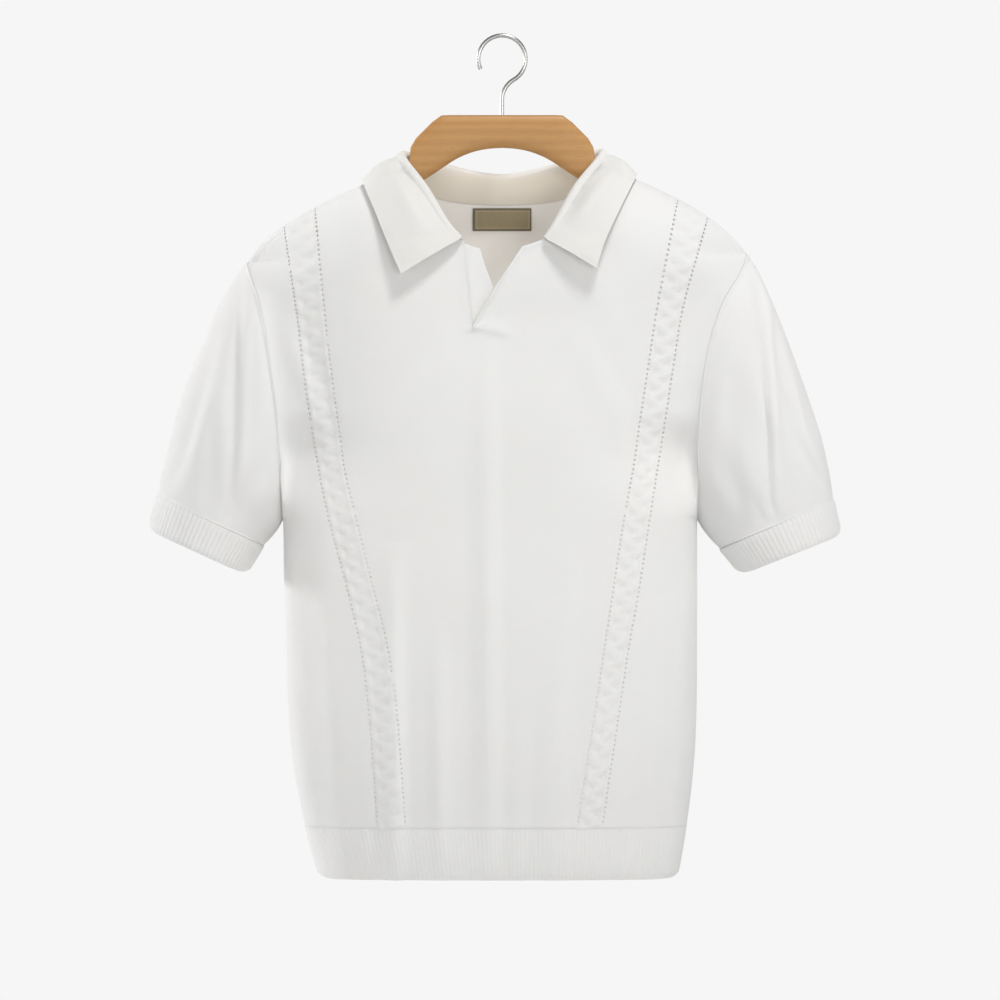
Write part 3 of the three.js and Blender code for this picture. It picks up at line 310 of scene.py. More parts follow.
def normalsOf(points, closed=False):  # across the columns and up the rows
    if closed:
        wide = np.concatenate([points[:, -2:-1], points, points[:, 1:2]], axis=1)
        across = (wide[:, 2:] - wide[:, :-2]) / 2
    else:
        across = np.gradient(points, axis=1)
    up = np.gradient(points, axis=0)
    normal = np.cross(across, up)
    length = np.linalg.norm(normal, axis=-1, keepdims=True)
    return normal / np.maximum(length, 1e-9)


def clothUv(points, middle=0.5):  # stitches keep their size: lengths along the cloth, in metres
    across = alongArcs(points, 1)
    up = alongArcs(points, 0)
    centre = across[:, [int(middle * (points.shape[1] - 1))]]
    return np.stack([across - centre, up], axis=-1) * mm


def gridSheet(name, points, uv):
    rows, columns = points.shape[:2]
    bpy.ops.object.select_all(action="DESELECT")
    bpy.ops.mesh.primitive_grid_add(x_subdivisions=columns - 1, y_subdivisions=rows - 1, size=2)
    piece = bpy.context.object
    piece.name = piece.data.name = name
    mesh = piece.data
    mesh.vertices.foreach_set("co", (points * mm).ravel())
    corners = np.zeros(len(mesh.loops), int)
    mesh.loops.foreach_get("vertex_index", corners)
    mesh.uv_layers[0].data.foreach_set("uv", uv.reshape(-1, 2)[corners].ravel())
    mesh.update()
    return piece


def choose(piece):
    bpy.ops.object.select_all(action="DESELECT")
    piece.select_set(True)
    bpy.context.view_layer.objects.active = piece


def weld(piece, distance=0.02):
    choose(piece)
    bpy.ops.object.mode_set(mode="EDIT")
    bpy.ops.mesh.select_all(action="SELECT")
    bpy.ops.mesh.remove_doubles(threshold=distance * mm)
    bpy.ops.object.mode_set(mode="OBJECT")


def thicken(piece, wall, offset=-1):
    choose(piece)
    piece.data.materials.append(None)  # the outer face's and the inner face's
    piece.data.materials.append(None)
    bpy.ops.object.modifier_add(type="SOLIDIFY")
    solid = piece.modifiers[-1]
    solid.thickness = wall * mm
    solid.offset = offset
    solid.material_offset = 1
    bpy.ops.object.modifier_apply(modifier=solid.name)


def softEdges(piece, degrees=50):
    choose(piece)
    bpy.ops.object.shade_smooth_by_angle(angle=math.radians(degrees))


def clothPiece(name, points, moved, wall, offset=-1, closed=False):
    piece = gridSheet(name, moved, clothUv(points))
    if closed:
        weld(piece)
    thicken(piece, wall, offset)
    softEdges(piece)
    return piece


def rodPiece(name, points):  # a closed tube with filled ends
    piece = gridSheet(name, points, clothUv(points))
    weld(piece)
    bpy.ops.object.mode_set(mode="EDIT")
    bpy.ops.mesh.select_all(action="SELECT")
    bpy.ops.mesh.fill_holes(sides=0)
    bpy.ops.mesh.normals_make_consistent(inside=False)
    bpy.ops.object.mode_set(mode="OBJECT")
    softEdges(piece, 40)
    return piece


def openHoles(piece, centres, radius):  # round holes at the vertices that lie at the centres
    choose(piece)
    mesh = piece.data
    places = np.empty(len(mesh.vertices) * 3)
    mesh.vertices.foreach_get("co", places)
    known = {tuple(place) for place in np.round(centres * mm, 6)}
    wanted = [tuple(place) in known for place in np.round(places.reshape(-1, 3), 6)]
    mesh.vertices.foreach_set("select", np.array(wanted))
    mesh.edges.foreach_set("select", np.zeros(len(mesh.edges), bool))
    mesh.polygons.foreach_set("select", np.zeros(len(mesh.polygons), bool))
    bpy.ops.object.mode_set(mode="EDIT")
    bpy.ops.mesh.select_mode(type="VERT")
    bpy.ops.mesh.bevel(offset_type="OFFSET", offset=radius * mm, segments=2, affect="VERTICES")
    bpy.ops.mesh.delete(type="ONLY_FACE")
    bpy.ops.object.mode_set(mode="OBJECT")


# Shader helpers

class Signal:  # a socket that can be reckoned with
    def __init__(self, paint, socket):
        self.paint = paint
        self.socket = socket

    def __add__(self, other):
        return self.paint.math("ADD", self, other)

    def __radd__(self, other):
        return self.paint.math("ADD", other, self)

    def __sub__(self, other):
        return self.paint.math("SUBTRACT", self, other)

    def __rsub__(self, other):
        return self.paint.math("SUBTRACT", other, self)

    def __mul__(self, other):
        return self.paint.math("MULTIPLY", self, other)

    def __rmul__(self, other):
        return self.paint.math("MULTIPLY", other, self)

    def __truediv__(self, other):
        return self.paint.math("DIVIDE", self, other)

    def __pow__(self, other):
        return self.paint.math("POWER", self, other)


class Paint:  # the nodes of one material, or of the world
    def __init__(self, name, kind="materials"):
        self.material = getattr(bpy.data, kind).new(name)
        self.material.use_nodes = True
        self.tree = self.material.node_tree
        self.tree.nodes.clear()

    def node(self, kind, settings=None, sockets=None, out=0):
        made = self.tree.nodes.new(kind)
        for key, value in (settings or {}).items():
            setattr(made, key, value)
        for key, value in (sockets or {}).items():
            if isinstance(value, Signal):
                self.tree.links.new(value.socket, made.inputs[key])
            else:
                made.inputs[key].default_value = value
        return Signal(self, made.outputs[out])

    def math(self, operation, first, second=0.0, clamp=False):
        settings = {"operation": operation, "use_clamp": clamp}
        return self.node("ShaderNodeMath", settings, {0: first, 1: second})

    def blend(self, share, first, second):
        sockets = {0: share, 6: first, 7: second}
        return self.node("ShaderNodeMix", {"data_type": "RGBA"}, sockets, out=2)

    def part(self, vector, axis):
        return self.node("ShaderNodeSeparateXYZ", None, {0: vector}, out=axis)

    def noise(self, vector, scale, detail=2.0, roughness=0.5):
        sockets = {"Vector": vector, "Scale": scale, "Detail": detail, "Roughness": roughness}
        return self.node("ShaderNodeTexNoise", None, sockets)

    def objectPlace(self, scale=(1, 1, 1)):
        place = self.node("ShaderNodeTexCoord", out=3)
        return self.node("ShaderNodeMapping", None, {"Vector": place, "Scale": scale})

    def bump(self, height, distance, strength):
        sockets = {"Height": height, "Distance": distance, "Strength": strength}
        return self.node("ShaderNodeBump", None, sockets)

    def finish(self, colour, roughness, normal, constants=None):
        sockets = {"Base Color": colour, "Roughness": roughness, "Normal": normal}
        sockets.update(constants or {})
        shader = self.node("ShaderNodeBsdfPrincipled", None, sockets)
        output = self.tree.nodes.new("ShaderNodeOutputMaterial")
        self.tree.links.new(shader.socket, output.inputs["Surface"])
        return self.material


# Materials

knitFinish = {
    "wale": 1.75, "course": 1.35, "slant": 1.25, "stitchDepth": 0.00022,
    "ivory": (0.855, 0.853, 0.845, 1), "shade": (0.80, 0.795, 0.775, 1),
    "warm": (0.845, 0.80, 0.775, 1), "warmth": 1.4,
    "fibre": 2600.0, "yarn": 420.0, "clouds": 9.0, "drift": 6.5,  # sizes of the noise
    "loopPower": 0.6, "fibreHeight": 0.35, "yarnHeight": 0.2,
    "stitchShade": 0.22, "cloudTone": 0.55, "yarnTone": 0.25, "warmFrom": 0.48,
    "roughness": 0.9, "stitchShine": 0.08, "sheen": 0.08, "sheenRoughness": 0.4,
    "ior": 1.4, "specular": 0.3,
    "glow": 0.3, "glowDepth": 0.004,  # the thin cloth lets some light through
    # the emission strength below makes the cloth glow: painted light, for light that comes
    # through the thin knit
    "through": (1.0, 0.93, 0.82, 1), "paintedGlow": 0.0,
}


def knitMaterial(name, look, stitchStrength=0.55):
    paint = Paint(name)
    uv = paint.node("ShaderNodeUVMap")
    u, v = paint.part(uv, 0), paint.part(uv, 1)
    across = paint.math("FRACT", u / (look["wale"] * mm)) - 0.5
    side = paint.math("ABSOLUTE", across)
    leg = paint.math("SINE", side * (2 * math.pi))
    row = paint.math("FRACT", v / (look["course"] * mm) + side * look["slant"])
    loop = paint.math("SINE", row * math.pi)
    stitch = leg * loop ** look["loopPower"]
    place = paint.objectPlace()
    fibre = paint.noise(place, look["fibre"], 3.0, 0.7)
    yarn = paint.noise(place, look["yarn"], 3.0, 0.6)
    cloudy = paint.noise(place, look["clouds"], 3.0, 0.55)
    height = stitch + fibre * look["fibreHeight"] + yarn * look["yarnHeight"]
    normal = paint.bump(height, look["stitchDepth"], stitchStrength)
    spots = cloudy * look["cloudTone"] + yarn * look["yarnTone"]
    # the grooves between the stitch legs come out darker: painted shade; the cloud and yarn noise
    # is the yarn's own uneven tone
    tone = paint.math("ADD", stitch * look["stitchShade"], spots, clamp=True)
    colour = paint.blend(tone, look["shade"], look["ivory"])
    drift = paint.noise(place, look["drift"], 2.0, 0.5)
    warmth = paint.math("MULTIPLY", drift - look["warmFrom"], look["warmth"], clamp=True)
    colour = paint.blend(warmth, colour, look["warm"])
    if "neckShade" in look:  # the collar's stand, at the back of the neck, painted darker and warmer: painted shade with painted warm light thrown back from the hanger
        farBack = paint.part(place, 1) * look["neckShadeBehind"]
        behind = paint.math("ADD", farBack, look["neckShadeShift"], clamp=True)
        low = paint.math("MULTIPLY", look["neckShadeUpTo"] - v, look["neckShadeEnd"], clamp=True)
        colour = paint.blend(behind * low, colour, look["neckShade"])
    roughness = look["roughness"] - stitch * look["stitchShine"]
    # emission: a painted glow, set above zero only on the inner face
    constants = {
        "Emission Color": look["through"], "Emission Strength": look["paintedGlow"],
        "Subsurface Weight": look["glow"], "Subsurface Radius": look["through"][:3],
        "Subsurface Scale": look["glowDepth"],
        "Sheen Weight": look["sheen"], "Sheen Roughness": look["sheenRoughness"],
        "IOR": look["ior"], "Specular IOR Level": look["specular"],
    }
    return paint.finish(colour, roughness, normal, constants)


knit = knitMaterial("knit cloth", knitFinish)
# the inner face glows faintly: painted light inside the shirt
knitInside = knitMaterial("knit cloth, inner face", {**knitFinish, "paintedGlow": 0.13})
rib = knitMaterial("ribbed cloth", {**knitFinish, "wale": 1.95, "course": 1.3}, 0.45)
collarFinish = {
    **knitFinish, "wale": 1.5, "course": 1.2,
    "ivory": (0.815, 0.805, 0.775, 1), "shade": (0.765, 0.755, 0.72, 1),
    # painted shade at the back of the neck, warmed as by light thrown back from the wooden hanger
    "neckShade": (0.81, 0.76, 0.665, 1), "neckShadeUpTo": 0.032, "neckShadeEnd": 120.0,
    "neckShadeBehind": 40.0, "neckShadeShift": 0.4,  # how sharply the painted neck shade begins towards the back
}
collarKnit = knitMaterial("collar cloth", collarFinish, 0.45)

labelFinish = {
    "yarn": 0.42, "dark": (0.272, 0.221, 0.132, 1), "light": (0.468, 0.391, 0.247, 1),
    "edge": (0.14, 0.125, 0.08, 1), "line": (0.55, 0.5, 0.36, 1), "roughness": 0.75,
    "border": 1.9, "borderShare": 0.8, "lineAt": 2.8, "lineWidth": 0.6, "lineShare": 0.6,
    "weft": 1.3, "weaveTone": 0.25, "toneFrom": 0.15, "mottle": 900.0, "mottleTone": 0.7,
    "mottleHeight": 0.5, "relief": 0.0001, "reliefShare": 0.5, "sheen": 0.2,
}


def labelMaterial(look):
    paint = Paint("woven label")
    uv = paint.node("ShaderNodeUVMap")
    u, v = paint.part(uv, 0), paint.part(uv, 1)
    warp = paint.math("SINE", u * (2 * math.pi / (look["yarn"] * mm)))
    weft = paint.math("SINE", v * (2 * math.pi / (look["yarn"] * look["weft"] * mm)))
    weave = warp * weft
    place = paint.objectPlace()
    mottled = paint.noise(place, look["mottle"], 3.0, 0.6)
    woven = weave * look["weaveTone"] + look["toneFrom"]
    tone = paint.math("ADD", woven, mottled * look["mottleTone"], clamp=True)
    colour = paint.blend(tone, look["dark"], look["light"])
    halfWide = labelForm["width"] * mm / 2
    halfTall = labelForm["height"] * mm / 2
    fromSide = halfWide - paint.math("ABSOLUTE", u)
    fromTop = halfTall - paint.math("ABSOLUTE", v - halfTall)
    fromEdge = paint.math("MINIMUM", fromSide, fromTop)
    border = paint.math("LESS_THAN", fromEdge, look["border"] * mm)
    colour = paint.blend(border * look["borderShare"], colour, look["edge"])
    fromLine = paint.math("ABSOLUTE", fromEdge - look["lineAt"] * mm)
    line = paint.math("LESS_THAN", fromLine, look["lineWidth"] / 2 * mm)
    colour = paint.blend(line * look["lineShare"], colour, look["line"])
    height = weave + mottled * look["mottleHeight"]
    normal = paint.bump(height, look["relief"], look["reliefShare"])
    return paint.finish(colour, look["roughness"], normal, {"Sheen Weight": look["sheen"]})


woodFinish = {
    "light": (0.55, 0.295, 0.098, 1), "dark": (0.42, 0.205, 0.062, 1),
    "pore": (0.3, 0.14, 0.05, 1), "poreFrom": 0.66, "poreShare": 0.35,
    "grain": (1.0, 7.0, 7.0), "fibres": (20, 420, 420), "pores": (60, 1400, 1400),
    "warp": 6.0, "warpTone": 0.35, "ringTone": 0.35, "fineTone": 0.3,
    "rings": {"Scale": 5.0, "Distortion": 3.5, "Detail": 3.0, "Detail Scale": 0.8},
    "roughness": 0.42, "fineShine": 0.15, "relief": 0.0002, "reliefShare": 0.25,
    "varnish": {"Coat Roughness": 0.25, "Coat Weight": 0.15},
}


def woodMaterial(look):
    paint = Paint("hanger wood")
    place = paint.objectPlace(look["grain"])
    warp = paint.noise(place, look["warp"], 3.0, 0.5)
    rings = paint.node(
        "ShaderNodeTexWave",
        {"wave_type": "BANDS", "bands_direction": "Z", "wave_profile": "SIN"},
        {"Vector": place, **look["rings"]},
        out=1,
    )
    fine = paint.noise(paint.objectPlace(look["fibres"]), 1.0, 3.0, 0.6)
    pores = paint.noise(paint.objectPlace(look["pores"]), 1.0, 1.0, 0.5)
    bands = rings * look["ringTone"] + warp * look["warpTone"]
    tone = paint.math("ADD", bands, fine * look["fineTone"], clamp=True)
    colour = paint.blend(tone, look["dark"], look["light"])
    poreMask = paint.math("GREATER_THAN", pores, look["poreFrom"]) * look["poreShare"]
    colour = paint.blend(poreMask, colour, look["pore"])
    normal = paint.bump(fine - poreMask, look["relief"], look["reliefShare"])
    roughness = look["roughness"] + fine * look["fineShine"]
    return paint.finish(colour, roughness, normal, look["varnish"])


metalFinish = {
    "tone": (0.62, 0.62, 0.61, 1), "worn": (0.5, 0.49, 0.47, 1), "smudges": 160.0,
    "roughness": 0.2, "smudgeShine": 0.18,
    "drawn": (1, 1, 12), "lines": 900.0, "relief": 0.00005, "reliefShare": 0.3,
}


def metalMaterial(look):
    paint = Paint("hook metal")
    smudge = paint.noise(paint.objectPlace(), look["smudges"], 3.0, 0.6)
    drawn = paint.noise(paint.objectPlace(look["drawn"]), look["lines"], 2.0, 0.5)
    colour = paint.blend(smudge, look["worn"], look["tone"])
    roughness = look["roughness"] + smudge * look["smudgeShine"]
    normal = paint.bump(drawn, look["relief"], look["reliefShare"])
    return paint.finish(colour, roughness, normal, {"Metallic": 1.0})


def dress(piece, material, nodes, inside=None):
    faces = np.zeros(len(piece.data.polygons), int)
    piece.data.polygons.foreach_get("material_index", faces)
    piece.data.materials.clear()
    piece.data.materials.append(material)
    if inside:
        piece.data.materials.append(inside)
        piece.data.polygons.foreach_set("material_index", faces)
    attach(piece, "root")
    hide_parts(*nodes)


# Panels: columns between the lines of the cut

seamForm = {
    "puff": 0.6, "width": 2.4, "sidePuff": 0.4, "hemPuff": 0.3,
    "shoulderSeam": 9.0, "groove": 0.7, "grooveWidth": 1.3, "grooveInset": 2,
    "armpitFade": 6, "creaseFade": 12, "plaitFade": 12, "topFade": 4, "edge": 0.01,
}
panelForm = {"rows": (130, 80, 54), "fineSteps": 160, "ceiling": -60.0, "halvings": 36}


def lineOf(x):
    return lambda z: angleAt(x(z), z)


def cutLine(name):
    top, foot = cutLines[name]
    topZ = {"flapTop": flapForm["z"][2], "collarEnd": neckForm["frontEnd"]}.get(name)
    topZ = float(shoulderZ(top)) if topZ is None else topZ
    low = bodyForm["hemSeam"]
    return lineOf(lambda z: mix(foot, top, (z - low) / (topZ - low)))


def slitAt(z):
    low, notch = bodyForm["hemSeam"], bodyForm["notch"]
    lower = mix(flapForm["slitHem"], flapForm["slitFoot"], (z - low) / (notch - low))
    share = (z - notch) / (neckForm["frontEnd"] - notch)
    return np.where(z < notch, lower, mix(flapForm["slitFoot"], neckForm["endLeft"], share))


def eyeletTrio(name):  # the line of the eyelets and one on each side
    line = through(eyeletLines["z"], eyeletLines[name])
    return [
        lineOf(lambda z, s=shift * eyeletLines["cell"]: line(z) + s) for shift in (-1, 0, 1)
    ]


highLeft, highRight = (float(shoulderZ(side * neckForm["half"])) for side in (-1, 1))
neckLeft, neckRight, neckBackLeft, neckBackRight = (
    through([*neckForm[part + "X"], neckForm["half"]], [*neckForm[part + "Z"], high])
    for part in ("front", "back") for high in (highLeft, highRight)
)


def topLeft(x):
    return shoulderZ(x) if x < -neckForm["half"] else neckLeft(-x)


def topRight(x):
    if x < neckForm["endRight"]:
        return np.interp(x, flapForm["x"], flapForm["z"])
    return shoulderZ(x) if x > neckForm["half"] else max(neckRight(x), neckForm["frontEnd"])


def topBack(x):
    if abs(x) > neckForm["half"]:
        return shoulderZ(x)
    return neckBackLeft(-x) if x < 0 else neckBackRight(x)


def topOf(angle, edge):  # the height where a column meets the panel's upper edge
    low, high = bodyForm["notch"], panelForm["ceiling"]
    for _ in range(panelForm["halvings"]):
        z = (low + high) / 2
        share = -signedPower(np.cos(angle(z)), 2 / bodyForm["power"])
        x = centreX(z) + halfWidth(z) * share
        if edge(x) > z:
            low = z
        else:
            high = z
    return (low + high) / 2


def columnPoints(facing, angle, top, counts):  # rows evenly spaced along the cloth
    marks = [bodyForm["hemSeam"], bodyForm["armpit"], bodyForm["notch"], top]
    heights = [np.array([bodyForm["hemSeam"]], float)]
    for low, high, count in zip(marks, marks[1:], counts):
        fine = 1 - (1 - np.linspace(0, 1, panelForm["fineSteps"])) ** 2
        z = mix(low, high, fine)
        points = bodyPoint(facing, angle(z), z)
        length = lengthsOf(points)
        heights.append(np.interp(np.linspace(0, length[-1], count + 1)[1:], length, z))
    z = np.concatenate(heights)
    return bodyPoint(facing, angle(z), z)


def panelColumns(facing, lines, counts, edge, tops, rows=panelForm["rows"]):
    columns, marks = [], []
    for part, line in enumerate(lines):
        count = counts[part - 1] if part else 0
        before = lines[part - 1] if part else line
        for i in range(1 if part else 0, count + 1):
            share = i / count if count else 1.0
            angle = (lambda z, a=before, b=line, s=share: mix(a(z), b(z), s))
            known = tops.get(part) if i == count else None
            top = topOf(angle, edge) if known is None else known
            columns.append(columnPoints(facing, angle, top, rows))
            marks.append(part - 1 + share)
    return np.stack(columns, axis=1), np.array(marks)


def sideLine(angle):
    return lambda z: angle + 0 * np.asarray(z, float)


def seamPuff(distance, rise=seamForm["puff"], width=seamForm["width"]):
    d = np.maximum(distance, 0) / width
    return rise * d * np.exp(1 - d)


braidForm = {
    "repeat": 51.0, "strands": 3, "swing": 0.26, "strand": 0.17, "roundness": 2.2,
    "rise": 1.5, "over": 0.45, "ground": 0.55, "fade": 0.16,
}


def braidRelief(share, length):  # a plait of three strands between two eyelet lines
    turn = 2 * math.pi * length / braidForm["repeat"]
    best = np.zeros(np.broadcast(share, length).shape)
    for strand in range(braidForm["strands"]):
        phase = turn + strand * 2 * math.pi / braidForm["strands"]
        away = (share - 0.5 - braidForm["swing"] * np.sin(phase)) / braidForm["strand"]
        level = 1 - braidForm["over"] * (1 - np.sin(2 * phase)) / 2
        flank = np.clip(np.abs(away), 0, 1) ** braidForm["roundness"]
        best = np.maximum(best, np.sqrt(np.maximum(1 - flank, 0)) * level)
    fade = smooth(share / braidForm["fade"]) * smooth((1 - share) / braidForm["fade"])
    return braidForm["rise"] * (best - braidForm["ground"]) * fade


# The front

leftLines = [
    sideLine(0.0), *eyeletTrio("leftOut"), *eyeletTrio("leftIn"),
    cutLine("shoulderLeft"), lineOf(slitAt),
]
rightLines = [
    lineOf(slitAt), cutLine("flapTop"), cutLine("collarEnd"), cutLine("shoulderRight"),
    *eyeletTrio("rightIn"), *eyeletTrio("rightOut"), sideLine(math.pi),
]
leftPoints, leftMarks = panelColumns(
    -1, leftLines, [12, 1, 1, 13, 1, 1, 11, 9], topLeft,
    {0: tipLeft[1], 7: highLeft, 8: neckForm["frontEnd"]},
)
rightPoints, rightMarks = panelColumns(
    -1, rightLines, [8, 2, 10, 11, 1, 1, 13, 1, 1, 12], topRight,
    {0: bodyForm["notch"], 3: highRight, 10: tipRight[1]},
)


def neckDent(x, z):  # below the collar's front ends the cloth sinks in
    across = (x - flapForm["dentX"]) / flapForm["dentWide"]
    up = z - flapForm["dentZ"]
    up = up / np.where(up > 0, flapForm["dentAbove"], flapForm["dentBelow"])
    return -flapForm["dent"] * bell(up) * np.exp(-(across**4))


def panelRelief(points, side, up, creases):  # the seams at the side and the hem, and the creases
    high = smooth((points[..., 2] - bodyForm["armpit"]) / seamForm["armpitFade"])
    relief = seamPuff(side) * high + seamPuff(side, seamForm["sidePuff"]) * (1 - high)
    relief += seamPuff(up, seamForm["hemPuff"])
    return relief + creaseRelief(points, creases) * smooth(side / seamForm["creaseFade"])


def fromEdges(points):  # distances along the cloth from the four edges
    across = alongArcs(points, 1)
    up = alongArcs(points, 0)
    return across, across[:, -1:] - across, up, up[-1:] - up


def eyeletRims(away):  # thin ridges on both sides of an eyelet line
    beside = (np.abs(away) - eyeletLines["rimAt"]) / eyeletLines["rimWidth"]
    return eyeletLines["rim"] * bell(beside)


def columnAt(marks, line):
    return int(np.argmin(np.abs(marks - line)))


def frontRelief(points, marks, braid, leftSide):
    fromLeft, fromRight, up, fromTop = fromEdges(points)
    share = (marks - braid[0]) / (braid[1] - braid[0])
    inBraid = (share > 0) & (share < 1)
    plait = braidRelief(np.where(inBraid, share, 0), up) * inBraid
    relief = plait * smooth(fromTop / seamForm["plaitFade"])
    side = fromLeft if leftSide else fromRight
    relief += panelRelief(points, side, up, bodyCreases["front"])
    relief += neckDent(points[..., 0], points[..., 2])
    across = fromLeft
    for line in braid:
        relief += eyeletRims(across - across[:, [columnAt(marks, line)]])
    groove = bell((fromTop - seamForm["shoulderSeam"]) / seamForm["grooveWidth"])
    onSeam = np.abs(points[..., 0]) > neckForm["half"] - seamForm["grooveInset"]
    relief -= seamForm["groove"] * groove * onSeam
    return relief * smooth(fromTop / seamForm["topFade"]) * (side >= seamForm["edge"])


def flapRelief(points):  # the flap's border and the seam that holds its foot
    x, z = points[..., 0], points[..., 2]
    path = np.stack([flapForm["x"], flapForm["z"]], axis=-1)
    away = np.full(x.shape, 1e9)
    for a, b in zip(path[:-1], path[1:]):
        away = np.minimum(away, np.hypot(*toSegment(x, z, a, b)[1:]))
    border = flapForm["edgeRise"] * smooth((flapForm["edge"] - away) / flapForm["edgeSoft"])
    form = footSeam
    share = (x - flapForm["slitFoot"]) / (form["end"] - flapForm["slitFoot"])
    over = z - (flapForm["z"][0] - form["fall"] * np.clip(share, 0, form["fallEnd"]))
    raised = smooth((over + form["soft"]) / (2 * form["soft"]))
    raised = raised * smooth((form["reach"] - over) / form["fade"])
    inSeam = smooth(share / form["startFade"]) * smooth((form["stop"] - share) / form["stopFade"])
    return border + form["rise"] * raised * inSeam


leftBraid, rightBraid = (2, 5), (5, 8)  # the eyelet lines on both sides of each plait
leftRelief = frontRelief(leftPoints, leftMarks, leftBraid, True)
rightRelief = frontRelief(rightPoints, rightMarks, rightBraid, False) + flapRelief(rightPoints)
shared = sum(panelForm["rows"][:2]) + 1
slitRelief = (leftRelief[:shared, -1] + rightRelief[:shared, 0]) / 2
leftRelief[:shared, -1] = rightRelief[:shared, 0] = slitRelief


def frontPiece():
    both = np.concatenate([leftPoints[:, :-1], rightPoints], axis=1)
    normals = normalsOf(both)
    leftNormals = normalsOf(leftPoints)
    rightNormals = normalsOf(rightPoints)
    joined = normals[:shared, leftPoints.shape[1] - 1]
    leftNormals[:shared, -1] = rightNormals[:shared, 0] = joined
    halves, surfaces = [], []
    for name, points, relief, normal in (
        ("frontCloth", leftPoints, leftRelief, leftNormals),
        ("frontRight", rightPoints, rightRelief, rightNormals),
    ):
        uv = clothUv(points, 1.0 if name == "frontCloth" else 0.0)
        surfaces.append(points + normal * relief[..., None])
        halves.append(gridSheet(name, surfaces[-1], uv))
    for half, surface, marks, braid in zip(
        halves, surfaces, (leftMarks, rightMarks), (leftBraid, rightBraid)
    ):
        columns = [columnAt(marks, line) for line in braid]
        centres = surface[3:-3:2, columns].reshape(-1, 3)
        above = 0
        for low, radius in eyeletLines["holes"]:
            here = (centres[:, 2] < above) & (centres[:, 2] >= low)
            openHoles(half, centres[here], radius)
            above = low
    choose(halves[0])
    halves[1].select_set(True)
    bpy.ops.object.join()
    weld(halves[0])
    thicken(halves[0], bodyForm["wall"])
    softEdges(halves[0])
    return halves[0]


front = frontPiece()
dress(front, knit, ["front"], inside=knitInside)
print("front made")

# The strip under the flap

underlapForm = {
    "z": [-283, -266, -250, -232, -214, -197],
    "left": [-36, -36, -37.5, -39, -40.5, -42],
    "right": [9, 6, 0, -8.4, -15.5, -20.5],
    "rise": 9, "across": 1.5, "up": 6,
    "near": 2.8, "under": 2.5, "least": 3, "fade": 6,
    "rows": 60, "columns": (6, 34), "lastInner": 0.99,
}


def underlapPiece(form):
    key = np.linspace(0, 1, form["rows"])[:, None]
    low, high = form["z"][0], form["z"][-1]
    z0 = mix(low, high, key)
    left = np.interp(z0, form["z"], form["left"])
    right = np.interp(z0, form["z"], form["right"])
    inner, outer = form["columns"]
    seam = (slitAt(z0) - left) / (right - left)
    hidden = seam * np.linspace(0, form["lastInner"], inner)
    share = np.concatenate([hidden, mix(seam, 1, np.linspace(0, 1, outer))], axis=1)
    rise = form["rise"] * (1 - share) ** form["across"]
    z = z0 + rise * key ** form["up"]
    x = mix(left, right, share) + slitAt(z) - slitAt(z0)
    slit = slitAt(z)
    flapX = np.interp(z, flapForm["z"], flapForm["x"])
    shown = np.clip((x - slit) / np.maximum(flapX - slit, form["least"]), 0, 1)
    beside = form["under"] * smooth(shown)
    out = smooth((z - bodyForm["notch"]) / form["fade"])
    out = out * (np.arange(inner + outer) >= inner)
    depth = mix(form["near"], beside, out) - neckDent(x, z)
    points = bodyPoint(-1, angleAt(x, z), z)
    normals = normalsOf(points)
    moved = points - normals * depth[..., None]
    return clothPiece("placketCloth", points, moved, bodyForm["wall"])


underlap = underlapPiece(underlapForm)
dress(underlap, knit, ["placket_under"])
print("strip under the flap made")

# The back

backLines = [sideLine(0.0), cutLine("shoulderLeft"), cutLine("shoulderRight"), sideLine(math.pi)]
backPoints, _ = panelColumns(
    1, backLines, [26, 34, 26], topBack,
    {0: tipLeft[1], 1: highLeft, 2: highRight, 3: tipRight[1]}, (66, 40, 30),
)


def backPiece():
    points = backPoints[:, ::-1]
    fromLeft, fromRight, up, fromTop = fromEdges(points)
    side = np.minimum(fromLeft, fromRight)
    relief = panelRelief(points, side, up, bodyCreases["back"])
    relief *= smooth(fromTop / seamForm["topFade"]) * (side >= seamForm["edge"])
    moved = points + normalsOf(points) * relief[..., None]
    return clothPiece("backCloth", points, moved, bodyForm["wall"], closed=True)


back = backPiece()
dress(back, knit, ["back"], inside=knitInside)
print("back made")

# Sleeves

